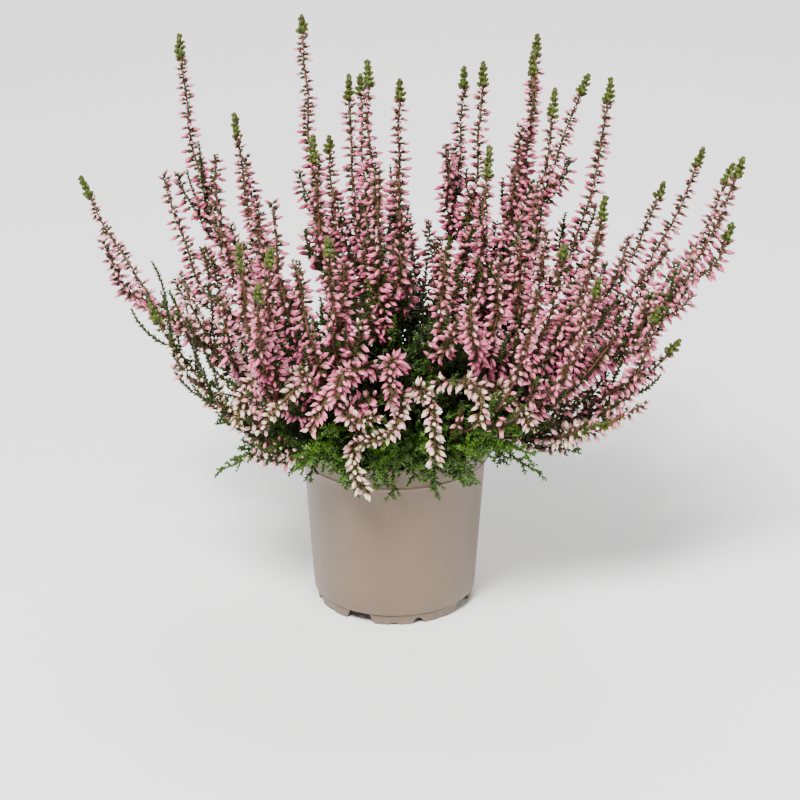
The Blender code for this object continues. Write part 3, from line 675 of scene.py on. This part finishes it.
def leafyShoot(paths, lengths, shade, look):
    # Scale leaves in four ranks: pairs at each pitch, every second pair a quarter turn round. A
    # leaf's way = forward + spread x outward; leaves shorten and close over the last third.
    which, level, places = countAlong(lengths, look["pitch"], 2, 2)
    share, count = (level + 0.5) / places, len(which)
    angle = crosswise(level) + random.normal(0, 0.25, count) + 0.6 * which
    place, forward, out = onPaths(paths, lengths, which, share * lengths[which], angle)
    ending = look["close"] * between(share, 0.66, 1)
    axis = turnAway(forward + (look["spread"] * (1 - ending))[:, None] * out, 0.10)
    length = look["leaf"] * (1 - 0.8 * ending) * random.uniform(0.85, 1.15, count)
    strip = pickStrips(shade[which] - 1 + 4 * share, 0.8, count, 3, 12)
    return stamp(kite, leafKind, place + 0.15 * out, axis, squareOff(np.cross(out, forward), axis),
                 length, look["broad"] * length, strip)


def pairPlaces(lengths, low, high, first, last):
    # Distances of the pairs when the pitch grows evenly from low to high along the path. The
    # number passed by x is L / (high - low) ln(1 + (high - low) x / low), turned round for x.
    slope = high - low
    passed = lambda x: lengths * (np.log1p(slope * (x / lengths) / low) / slope)
    start, stop = passed(first), passed(last)
    which, level, places = countAlong(stop - start, 1, 3, 2)
    number = start[which] + (level + 0.5) * (stop - start)[which] / places
    return which, level, lengths[which] * low / slope * np.expm1(number * slope / lengths[which])


def stemLeaves(paths, lengths, first, last):
    # Small dark leaves that clasp the stem, in pairs set crosswise.
    pitch = spikeForm["stemLeafPitch"]
    which, level, _ = countAlong(last - first, pitch, 1, 2)
    count = len(which)
    distance = first[which] + (level + random.uniform(0.2, 0.8, count)) * pitch
    angle = crosswise(level) + random.normal(0, 0.5, count) + 0.3
    place, forward, out = onPaths(paths, lengths, which, distance, angle)
    axis = turnAway(forward + 0.75 * out, 0.2)
    strip = pickStrips(1.8, 1.5, count, 0, 6)
    size = spikeForm["stemLeaf"] * random.uniform(0.7, 1.2, count)
    return stamp(thorn, leafKind, place + 0.35 * out, axis, squareOff(np.cross(out, forward), axis),
                 size, 0.55 * size, strip)


def leafyAt(place):
    # The share of buds that leaves replace: low right of the middle, low at the far left, and in a
    # green patch at the front, over the rim.
    x, y, z = place.T
    right = 0.62 * between(z, 152, 130) * between(x, 15, 30) * between(x, 98, 78)
    left = 0.5 * between(z, 182, 157) * between(x, -84, -100)
    patch = 0.88 * between(z + 0.44 * y, 138, 130) * between(x, 26, 34) * between(x, 80, 72)
    return np.maximum(right + left, patch * (y < -20))


def paleAt(place, young):
    # How much whiter buds are: low down, more so at the right and most at the left; while young;
    # and, as painted light, towards the viewer, on the front that faces the lamps.
    x, y, z = place.T
    left, right = x < -80, x > 30
    lower = between(z, 172 + 22 * left, 112 + 22 * left) * (0.3 + 0.3 * right + 0.8 * left)
    # the last term is painted light: buds on the front, towards the viewer, are made paler
    return lower + 0.36 * young + 0.12 * between(y, -20, -100)


def placeBuds(number, paths, lengths, first, last, pitches, parts):
    # Buds in crosswise pairs, each on a stalk in a cup of leaves, with two bracts. They are smaller
    # over the upper two fifths, and the last ones still stand up along the stem.
    which, level, distance = pairPlaces(lengths, *pitches, first, last)
    distance = distance + random.normal(0, 0.4, len(which))
    leafy = leafyAt(onPaths(paths, lengths, which, distance)[0]) * (number != buddedSpray)
    kept = random.uniform(size=len(which)) < spikeForm["fewer"].get(number, 0.96) * (1 - leafy)
    which, distance, count = which[kept], distance[kept], kept.sum()
    angle = crosswise(level)[kept] + random.normal(0, 0.4, count) + 0.9 * which
    place, forward, out = onPaths(paths, lengths, which, distance, angle)
    below, hangs = last[which] - distance, forward[:, 2] < -0.2
    fresh = between(below, 12, 0) * (1 - 0.8 * hangs)
    young = between(below, np.clip(0.42 * (last - first)[which], 12, 70), 0) * (1 - 0.8 * hangs)
    rise, droop = 0.3 + 0.7 * fresh + 0.35 * hangs, 0.34 - 0.25 * fresh - 0.2 * hangs
    axis = turnAway(out + rise[:, None] * forward - droop[:, None] * upward, 0.17)
    size = (1 - 0.34 * young) * random.uniform(0.78, 1.12, count)
    stalkWay, stalk = unit(out + 0.3 * forward), spikeForm["stalk"] * size * (1 - 0.35 * hangs)
    foot = place + (0.4 + stalk)[:, None] * stalkWay
    pale = spikeForm["pale"].get(number, 0.1) + random.normal(0, 0.11, len(lengths))[which]
    pale = np.clip(pale + paleAt(place, young), 0, 1.15)
    strip = pickStrips(0.8 + 11.0 * pale, 2.7, count, 0, stripCount - 1)
    across = squareOff(np.cross(forward, axis), axis)
    wide = spikeForm["budWidth"] * size * random.uniform(0.88, 1.12, count)
    parts.append(stamp(budShape, budKind, foot, axis, across, spikeForm["budLength"] * size, wide,
                       strip, True))
    cupStrip = pickStrips(1.4, 1.4, count, 0, 5)
    parts.append(stamp(cup, leafKind, place, stalkWay, squareOff(forward, stalkWay), 2.7 + stalk,
                       1.08 * random.uniform(0.75, 1.2, count), cupStrip))
    bract, bractStrip = spikeForm["bract"] * (0.5 + 0.5 * size), pickStrips(1.6, 1.6, count, 0, 8)
    for turn in (-1, 1):
        way = unit(axis + 0.6 * turn * across + 0.2 * out)
        side = squareOff(np.cross(axis, across), way)
        parts.append(stamp(kite, leafKind, foot - 0.9 * axis, way, side, bract, 0.5 * bract,
                           bractStrip))


def cutPaths(paths, first, steps):
    # The stretch of each path from a share of its length to its end, in even steps.
    share = first[:, None] + (1 - first)[:, None] * np.linspace(0, 1, steps)
    return readAlong(paths, np.arange(len(paths))[:, None], share)


def waver(paths, lengths):
    # Stems are never quite true: offset = 0.9 mm x sin(pi share) x sin(waves of some 45 mm), the
    # same again square to it with waves of some 55 mm.
    share = np.linspace(0, 1, paths.shape[1])
    starts = random.uniform(0, 6.28, (2, len(paths), 1))
    turns = lengths[:, None] / 7.0 * share
    ways = sideways(paths, unit(np.gradient(paths, axis=1)))
    for way, rate, start in zip(ways, (1, 0.8), starts):
        wave = 0.9 * np.sin(math.pi * share) * np.sin(rate * turns + start)
        paths = paths + wave[..., None] * way
    return paths


def greenTip(paths, lengths, parts):
    # A blunt tip: lobes of young scales in crosswise pairs, each leaning out, less so at the end,
    # round three green spindles, one after the other, that cover the stem and end it.
    which, level, places = countAlong(lengths, spikeForm["lobePitch"], 3, 2)
    share, count = level / places, len(which)
    angle = crosswise(level) + random.normal(0, 0.3, count)
    place, forward, out = onPaths(paths, lengths, which, share * (lengths[which] - 1), angle)
    axis = turnAway(forward + (1.15 - 0.75 * share)[:, None] * out, 0.12)
    size = random.uniform(0.85, 1.2, count) * (1 - 0.3 * share)
    for first, long, wide in ((0.0, 0.55, 2.1), (0.45, 0.6, 1.8), (0.8, 0.3, 1.5)):
        foot, way, side = onPaths(paths, lengths, np.arange(len(paths)), first * lengths)
        parts.append(stamp(lobe, leafKind, foot, way, side, long * lengths, wide, 13.0 + first))
    side = squareOff(np.cross(out, forward), axis)
    parts.append(stamp(lobe, leafKind, place + 0.3 * out, axis, side, spikeForm["lobe"] * size,
                       spikeForm["lobeWidth"] * size, pickStrips(14.4, 0.8, count, 12, 15)))


def sideCurves(turn, paths, lengths, first, span, pitch, long):
    # Paths of side shoots at the golden angle round the stem: they leave it at some 40 degrees and
    # turn to rise beside it.
    which, level, _ = countAlong(span, pitch, 1)
    distance = first[which] + (level + random.uniform(0.1, 0.9, len(which))) * pitch
    angle = goldenAngle * level + 2.1 * turn
    place, forward, out = onPaths(paths, lengths, which, distance, angle)
    long = (long * random.uniform(0.7, 1.25, len(which)))[:, None]
    end = place + long * unit(0.42 * out + 0.8 * forward + 0.35 * upward)
    end = np.clip(end, layout["least"], layout["most"])
    leave = 0.35 * long * unit(0.9 * out + forward)
    back = 0.35 * long * unit(forward + 0.6 * upward)
    return evenPaths(np.stack([place, place + leave, end - back, end], axis=1), shootSteps)


def sideSpikes(number, paths, lengths, bares, parts):
    # Budded side shoots from the lower half of the leading spike, each with a leafy end, and leafy
    # ones without buds among them.
    share = spikeForm["leafyShare"].get(number, 0.5)
    pitch = spikeForm["closer"].get(number, spikeForm["shootPitch"])
    shoots, long = sideCurves(number, paths, lengths, 0.7 * bares, share * (lengths - bares), pitch,
                              spikeForm["shootLength"])
    ending = np.full(len(shoots), 5.0)
    parts += [tubes(shoots[:, ::2], *spikeForm["shootStem"], 3, 10.0),
              stemLeaves(shoots, long, 0 * long, long),
              leafyShoot(cutPaths(shoots, 1 - ending / long, 4), ending, ending, shootLook)]
    placeBuds(number, shoots, long, ending, long, spikeForm["shootPitches"], parts)
    pitch = spikeForm["bushier"].get(number, spikeForm["twigPitch"])
    twigs, long = sideCurves(number + 0.7, paths, lengths, 0.3 * bares, share * lengths, pitch,
                             spikeForm["twigLength"])
    parts += [tubes(twigs[:, ::2], *spikeForm["twigStem"], 3, 9.0),
              leafyShoot(twigs, long, random.normal(3.8, 1.4, len(twigs)), shootLook)]


def sideShootlets(paths, lengths, span, pitch, size, shade):
    # Short leafy shoots in the leaf axils: they leave the stem at about 40 degrees.
    which, level, places = countAlong(span, pitch, 1)
    distance = (level + random.uniform(0.2, 0.8, len(which))) * pitch
    angle = goldenAngle * level + 1.7 * which
    place, forward, out = onPaths(paths, lengths, which, distance, angle)
    long = size * random.uniform(0.6, 1.25, len(which)) * (1 - 0.35 * level / places)
    way = turnAway(out + 1.25 * forward + 0.1 * upward, 0.12)
    lines = place[:, None] + (long[:, None] * way)[:, None] * np.linspace(0, 1, 4)[:, None]
    return [stamp(thorn, stemKind, place, way, squareOff(forward, way), long, 0.8, 15.0),
            leafyShoot(lines, long, shade[which] + 1.2, foliageLook)]


def growSpray(number, curves, greens, bares):
    # One spray's stems with their leaves and buds, the leader's side shoots, then the green tips
    # and the short leafy shoots.
    hangs = number in hangingSprays
    paths, lengths = evenPaths(curves, spikeSteps)
    paths = waver(paths, lengths)
    parts = [tubes(paths[:, ::2], *spikeForm["stem"], 5, 12.0 if hangs else 9.0),
             stemLeaves(paths, lengths, bares * 0.3, lengths - greens)]
    pitches = spikeForm["hangingPitches" if hangs else "pitches"]
    placeBuds(number, paths, lengths, bares, lengths - greens, pitches, parts)
    if not hangs:
        sideSpikes(number, paths[:1], lengths[:1], bares[:1], parts)
    green = greens > 0
    if green.any():
        tips = greens[green] + 1
        greenTip(cutPaths(paths[green], 1 - tips / lengths[green], 12), tips, parts)
    leafy = spikeForm["leafyShare"].get(number, 0.5) * lengths[:1]
    return parts + sideShootlets(paths[:1], lengths[:1], leafy, spikeForm["leafShootPitch"],
                                 spikeForm["leafShootLength"], np.full(1, 4.0))


rowOwner = np.array([row[0] for row in spikeRows])
rowParent = np.array([row[1] for row in spikeRows])
rowGreen = np.array([float(row[4]) for row in spikeRows])
allPaths, allLengths = evenPaths(spikeCurves, spikeSteps)
rowBare = np.minimum(layout["bareLength"], 0.3 * allLengths)
for i in np.flatnonzero(rowParent >= 0):  # a side shoot is bare until it is 5 mm off its leader
    away = np.linalg.norm(allPaths[i][:, None] - allPaths[rowParent[i]][None], axis=2)
    apart = away.min(1) > 5.0
    rowBare[i] = allLengths[i] * (np.argmax(apart) / (spikeSteps - 1) if apart.any() else 0.6)

for number in range(1, len(sprays) + 1):
    rows = np.flatnonzero(rowOwner == number - 1)
    parts = growSpray(number, spikeCurves[rows], rowGreen[rows], rowBare[rows])
    addPiece(f"heatherSpray{number:02d}", parts, plantMaterials[:3],
             [f"flower_spray_{number:02d}"])
print("sprays grown")

# Leafy crown

crownForm = {
    "core": np.array((36.0, 36.0, 30.0)),  # half axes of the heart, a dark egg of painted shade
    "coreRings": 26, "coreCorners": 44,  # what it is made of
    "shoots": 240, "low": 150, "hanging": 90, "collar": 70,  # how many main leafy shoots
    "length": 34.0, "sideShoot": 9.0,  # how long upright shoots and all side shoots are
    # Each leafy piece, its shade and the pitch of its side shoots. The heart's low shade is painted
    # shade for the hollow in the crown's middle.
    "pieces": [("crownHeart", 3.4, 4.4), ("crownMantle", 5.4, 3.6), ("crownSkirt", 6.6, 3.0)],
}


def onBearing(radius, bearing, height):
    # x = r sin, y = -r cos, z = height.
    return np.stack(np.broadcast_arrays(radius * np.sin(bearing), -radius * np.cos(bearing), height),
                    axis=-1)


def makeCore():
    # The heart, an egg of dark painted shade whose radius is ruffled by crossed sines, closed at
    # both poles.
    rings, corners = crownForm["coreRings"], crownForm["coreCorners"]
    lift = np.linspace(-0.35 * math.pi, 0.5 * math.pi, rings)[:, None]
    turn = 2 * math.pi * np.arange(corners)[None] / corners
    ruffle = (1 + 0.05 * np.sin(9 * turn + 3 * lift) * np.cos(8 * lift)
              + 0.04 * np.sin(17 * turn) * np.sin(15 * lift))
    grid = crownForm["core"] * onBearing(np.cos(lift), turn, np.sin(lift)) * ruffle[..., None]
    grid[-1] = grid[-1].mean(0)
    points = np.concatenate([grid.reshape(-1, 3), grid[:1].mean(1)]) + layout["crownCentre"]
    i, top = np.arange(corners), (rings - 2) * corners
    j = (i + 1) % corners
    faces = np.concatenate([ringWalls(0, rings - 2, corners)[0],
                            np.stack([top + i, top + j, top + corners + i], -1),
                            np.stack([j, i, rings * corners + 0 * i], -1)])
    rise = (lift - lift[0]) / (lift[-1] - lift[0])
    share = np.stack(np.broadcast_arrays(turn / (2 * math.pi), rise), -1).reshape(-1, 2)
    corner = np.concatenate([share, ((0.5, 0.0),)])[faces]
    corner[..., 0] += (corner[..., 0] < 0.3) & (corner[..., :1, 0] > 0.6)  # the seam's far side
    corner = corner * (1 / 1.1, 0.94 / bandCount) + (0, (heartKind + 0.03) / bandCount)
    return {"points": points, "faces": faces, "map": corner, "kind": heartKind, "smooth": True}


def scatter(count, low, high, start):
    # Even spread over the egg: height and bearing from two independent golden-like steps.
    number = np.arange(start, start + count)
    level = low + (high - low) * ((number * 0.7548777) % 1)
    bearing = 2 * math.pi * ((number * 0.5698403) % 1)
    return onBearing(np.sqrt(1 - np.clip(level, -1, 1) ** 2), bearing, level), level


def goldenBearings(count, start):
    # Bearings a golden share of the circle apart.
    return 2 * math.pi * ((np.arange(count) * 0.618034 + start) % 1)


def foliageCurves():
    # Upright and outward shoots on the crown, lower ones longer; low ones that reach out level;
    # then a skirt that goes out past the rim and down outside it, with a collar round the foot.
    centre, core = layout["crownCentre"], crownForm["core"]
    out, level = scatter(crownForm["shoots"], 0.0, 1.0, 5)
    root, normal = centre + core * 0.95 * out, unit(out / core)
    grow = np.interp(level, (0.0, 0.35, 0.7, 1.0), (1.25, 1.15, 1.1, 1.5))
    length = (crownForm["length"] * grow * random.uniform(0.7, 1.2, len(out)))[:, None]
    way = turnAway(normal + 0.25 * upward, 0.22)
    end, back = root + length * way, 0.3 * length * unit(way + 0.5 * upward)
    first = np.stack([root, root + 0.4 * length * normal, end - back, end], axis=1)

    out, _ = scatter(crownForm["low"], -0.06, 0.25, 900)
    root, flat = centre + core * out, unit(out * (1, 1, 0))
    wide = 1 + 0.4 * flat[:, :1] ** 2 + 0.15 * np.clip(flat[:, :1], 0, 1)
    reach = random.uniform(34, 54, (len(out), 1)) * wide
    end = root + reach * turnAway(flat, 0.1) + random.uniform(-8, 14, (len(out), 1)) * upward
    second = np.stack([root, root + 0.4 * reach * flat + 3 * upward,
                       end - 0.3 * reach * flat + upward, end], axis=1)

    bearing = goldenBearings(crownForm["hanging"], 0)
    flat = onBearing(1, bearing + random.normal(0, 0.05, len(bearing)), 0)
    edge = random.uniform(59, 73, (len(flat), 1))
    drop = random.triangular(87, 104, 111, (len(flat), 1))
    end, over = flat * edge + drop * upward, flat * (edge - 4) + 115 * upward
    third = np.stack([centre + 36 * flat, over - 8 * flat + 3 * upward,
                      over + 2 * flat + 0.1 * (end - over), end], axis=1)

    flat = onBearing(1, goldenBearings(crownForm["collar"], 0.3), 0)
    root = flat * 34 + random.uniform(98, 106, (len(flat), 1)) * upward
    end = flat * random.uniform(46, 56, (len(flat), 1))
    end = end + random.uniform(100, 114, (len(flat), 1)) * upward
    fourth = np.stack([root, root + 6 * flat + 2 * upward, end - 6 * flat + 3 * upward, end], axis=1)
    return first, second, np.concatenate([third, fourth])


def makeFoliage(curves, shade, pitch):
    # Each shoot: its stem, leaves in four ranks and, from a quarter of its length on, leafy side
    # shoots. Shades brighten outwards: painted shade makes them darker towards the crown's middle.
    paths, lengths = evenPaths(curves, shootSteps)
    wide = np.linalg.norm(paths[:, -1, :2], axis=1)
    # painted shade: the tone drops by 0.05 for each millimetre that a shoot ends nearer the axis than
    # 60 mm
    shade = shade + random.normal(0, 1.5, len(paths)) + 0.05 * (wide - 60)
    parts = [tubes(paths[:, ::2], 0.7, 0.35, 3, 13.0),
             leafyShoot(paths, lengths, shade, foliageLook)]
    tail = lengths * (shootSteps - 4) / (shootSteps - 1)
    return parts + sideShootlets(paths[:, 3:], tail, tail, pitch, crownForm["sideShoot"], shade)


for curves, (name, shade, pitch) in zip(foliageCurves(), crownForm["pieces"]):
    parts = makeFoliage(curves, shade, pitch)
    if name == "crownHeart":
        addPiece(name, [makeCore()] + parts, plantMaterials, ["leafy_crown"])
    else:
        addPiece(name, parts, plantMaterials[:3], ["leafy_crown"])
print("crown grown")

# Pot, soil and stock

potForm = {
    "sides": 320, "wall": 1.6, "footRadius": 45.3, "footHeight": 6.8, "footWidth": 2.0,
    "wallFoot": 47.4, "wallTop": 53.2, "band": 55.0,  # radii of the wall's ends and the rim band
    "bandBottom": 91.6, "rim": 104.0,  # heights
    "drainHoles": 8, "drainRadius": 3.4, "drainRing": 35.0,
    "slotTurn": 18,  # the first group of foot slots, in degrees; there is one in each quarter
    # Each slot of a group: degrees on from the group's, width in degrees, height, slope in degrees.
    "slots": [(0, 7, 3.5, 5.0), (-18, 7, 1.2, 4.0), (18, 7, 1.2, 4.0), (45, 20, 5.5, 4.5)],
}


def turned(profile, sides, raised=None):
    # A profile of (radius, height) carried round the axis. Raised gives an extra height from
    # radius, bearing and height. Points on the axis close it with fans.
    bearing = 2 * math.pi * np.arange(sides) / sides
    radius, height = (line[:, None] + 0 * bearing for line in np.array(profile, float).T)
    if raised is not None:
        height = height + raised(radius, bearing + 0 * radius, height)
    points = onBearing(radius, bearing, height)
    points[0], points[-1] = points[0].mean(0), points[-1].mean(0)
    i, top = np.arange(sides), (len(profile) - 2) * sides
    j = (i + 1) % sides
    faces = np.concatenate([ringWalls(1, len(profile) - 2, sides)[0],
                            np.stack([0 * i, sides + j, sides + i], -1),
                            np.stack([top + i, top + j, top + sides + 0 * i], -1)])
    used, order = np.unique(faces, return_inverse=True)
    return {"points": points.reshape(-1, 3)[used], "faces": order.reshape(faces.shape), "kind": 0,
            "smooth": True}


def footSlots(radius, bearing, height):
    # The foot ring's underside rises in slots: each slot's height times a smooth slope at its ends.
    degrees = np.degrees(bearing)
    lift = 0 * degrees
    for quarter in range(4):
        for on, width, tall, slope in potForm["slots"]:
            middle = potForm["slotTurn"] + 90 * quarter + on
            off = np.abs((degrees - middle + 180) % 360 - 180)
            share = between(off, (width + slope) / 2, (width - slope) / 2)
            lift = np.maximum(lift, tall * share * share * (3 - 2 * share))
    return np.where(height < 0.7, lift, 0.0)


def makePot(form):
    # The outline starts at the middle underneath and goes out and down to the foot ring, up the
    # outside with its band, over the rim and down inside to the floor. Rods cut the drain holes.
    wall, foot, low, high = form["wall"], form["footRadius"], form["footHeight"], form["bandBottom"]
    wallFoot, wallTop, band, rim = form["wallFoot"], form["wallTop"], form["band"], form["rim"]
    ring, inner, floor = foot - form["footWidth"], wallFoot - wall - 0.2, low + wall
    profile = [
        (0, low), (ring, low), (ring, 0.3), (ring + 0.3, 0), (foot - 0.3, 0), (foot, 0.3),
        (foot + 0.6, low - 0.9), (foot + 0.4, low - 0.6), (foot - 0.6, low - 0.5),
        (foot - 0.6, low), (wallFoot - 0.3, low + 0.15), (wallFoot, low + 0.6),
        *[(wallFoot + (wallTop - wallFoot) * share, low + 0.9 + (high - 1.6 - low) * share)
          for share in np.linspace(0, 1, 12)[1:-1]],
        (wallTop, high - 2.4), (wallTop + 0.4, high - 1.4), (band - 0.5, high - 0.7),
        (band + 0.2, high - 0.3), (band + 0.45, high + 0.1), (band + 0.4, high + 0.5),
        (band, high + 1.1), (band - 0.05, high + 1.7), (band - 0.05, high + 6.0),
        (band, rim - 2.2), (band + 0.15, rim - 1.6), (band + 0.15, rim - 0.6),
        (band - 0.1, rim - 0.15), (band - 0.5, rim), (band - wall + 0.3, rim),
        (band - wall, rim - 0.3), (band - wall - 0.2, high + 1.0), (wallTop - wall, high - 1.0),
        (inner, floor + 0.8), (inner - 0.8, floor), (0, floor),
    ]
    pot = addPiece("nurseryPot", [turned(profile, form["sides"], footSlots)], [potPlastic],
                   ["pot"], False)
    drills = bpy.data.collections.new("drains")
    bpy.context.scene.collection.children.link(drills)
    radius, bottom, top = form["drainRadius"], low - 2, 11
    for hole in range(form["drainHoles"]):
        angle = 2 * math.pi * (hole + 0.5) / form["drainHoles"]
        rod = turned([(0, bottom), (radius, bottom), (radius, top), (0, top)], 32)
        rod["points"] += onBearing(form["drainRing"], angle, 0)
        mesh = bpy.data.meshes.new("drill")
        mesh.from_pydata((rod["points"] * metre).tolist(), [], rod["faces"].tolist())
        drills.objects.link(bpy.data.objects.new("drill", mesh))
    cut = pot.modifiers.new("drainHoles", "BOOLEAN")
    cut.operand_type, cut.collection, cut.solver = "COLLECTION", drills, "EXACT"
    bpy.context.view_layer.update()
    final = bpy.data.meshes.new_from_object(pot.evaluated_get(bpy.context.evaluated_depsgraph_get()))
    pot.modifiers.clear()
    pot.data = final
    for drill in list(drills.objects):
        bpy.data.objects.remove(drill)
    bpy.data.collections.remove(drills)
    final.set_sharp_from_angle(angle=math.radians(38))


soilForm = {
    "floor": 8.7, "floorRadius": 45.25, "wallTop": 90.6, "edge": 92.5, "radius": 51.25,
    "surface": 94.2, "hole": 6.45, "holeFloor": 69.7,  # the hole that the stock stands in
    "sides": 140, "rings": 34, "chips": 240, "chipSize": (1.2, 3.4),
}


def soilLumps(radius, bearing, height):
    # Heights added to the soil's top by lumps of 8, 3 and 1.5 mm.
    x, y, _ = onBearing(radius, bearing, height).transpose(2, 0, 1)
    wave = (0.5 * np.sin(0.8 * x + 1) * np.cos(0.75 * y)
            + 0.35 * np.sin(2.1 * x) * np.cos(1.9 * y + 2)
            + 0.25 * np.sin(4.2 * x + y) * np.cos(3.9 * y - x))
    return np.where(height > 93.0, wave, 0.0)


def makeSoil(form):
    # Peat: the solid's own outline with a finer, lumpy top, and loose chips on it.
    hole, edge, count = form["hole"], form["radius"], form["chips"]
    profile = [(0, form["floor"]), (form["floorRadius"], form["floor"]), (edge, form["wallTop"]),
               (edge, form["edge"]),
               *[(r, form["surface"]) for r in np.linspace(edge - 0.4, hole, form["rings"])],
               (hole, form["holeFloor"]), (0, form["holeFloor"])]
    spread = random.uniform(0, 1, (count, 2))
    place = onBearing(8 + 42 * np.sqrt(spread[:, 0]), 2 * math.pi * spread[:, 1], 94.0)
    axis = unit(random.normal(size=(count, 3)))
    size = random.uniform(*form["chipSize"], count)
    chips = stamp(closedShape([(0.5, 0.4)], 5), 0, place - 0.5 * size[:, None] * axis, axis,
                  squareOff(np.cross(axis, (0.3, 0.2, 1)), axis), size, size, 0)
    addPiece("pottingPeat", [turned(profile, form["sides"], soilLumps), chips], [peat],
             ["potting_soil"], False)


makePot(potForm)
makeSoil(soilForm)
stock = frame["nodes"]["woody_stock"].data
stock.materials.clear()
stock.materials.append(stockWood)
print("pot and soil made")

# Studio

studio = {
    "floor": "#FDFDFC", "world": "#FFFFFF", "worldStrength": 0.36,
    "lights": [("keyLight", (-0.5, -1.4, 2.1), 0.7, 152.0), ("fillLight", (1.6, -1.2, 1.2), 1.0, 10.0),
               ("backLight", (0.3, 1.5, 1.9), 1.2, 40.0)],  # place in metres, width, watts
}


def makeStudio():
    # A wide floor, an even pale surround, and square soft lights that face the plant's middle.
    mesh = bpy.data.meshes.new("floor")
    mesh.from_pydata([(-9, -9, 0), (9, -9, 0), (9, 9, 0), (-9, 9, 0)], [], [(0, 1, 2, 3)])
    floor = addObject("floor", mesh)
    material, tree, shader = newMaterial("paleMattPaper")
    setInputs(tree, shader, {"Base Color": linearColor(studio["floor"]), "Roughness": 0.9})
    mesh.materials.append(material)
    world = bpy.data.worlds.new("paleRoom")
    world.use_nodes = True
    setInputs(world.node_tree, world.node_tree.nodes["Background"],
              {"Color": linearColor(studio["world"]), "Strength": studio["worldStrength"]})
    bpy.context.scene.world = world
    for name, place, size, power in studio["lights"]:
        data = bpy.data.lights.new(name, "AREA")
        data.shape, data.size, data.energy = "SQUARE", size, power
        light = addObject(name, data)
        light.location = place
        x, y, z = place[0], place[1], place[2] - 0.15
        light.rotation_euler = (math.atan2(math.hypot(x, y), z), 0, math.atan2(y, x) + math.pi / 2)


makeStudio()
bpy.context.view_layer.update()
total = sum(len(item.data.polygons) for item in bpy.context.scene.objects
            if item.type == "MESH" and not item.hide_render)
print("studio made, faces in all:", total)
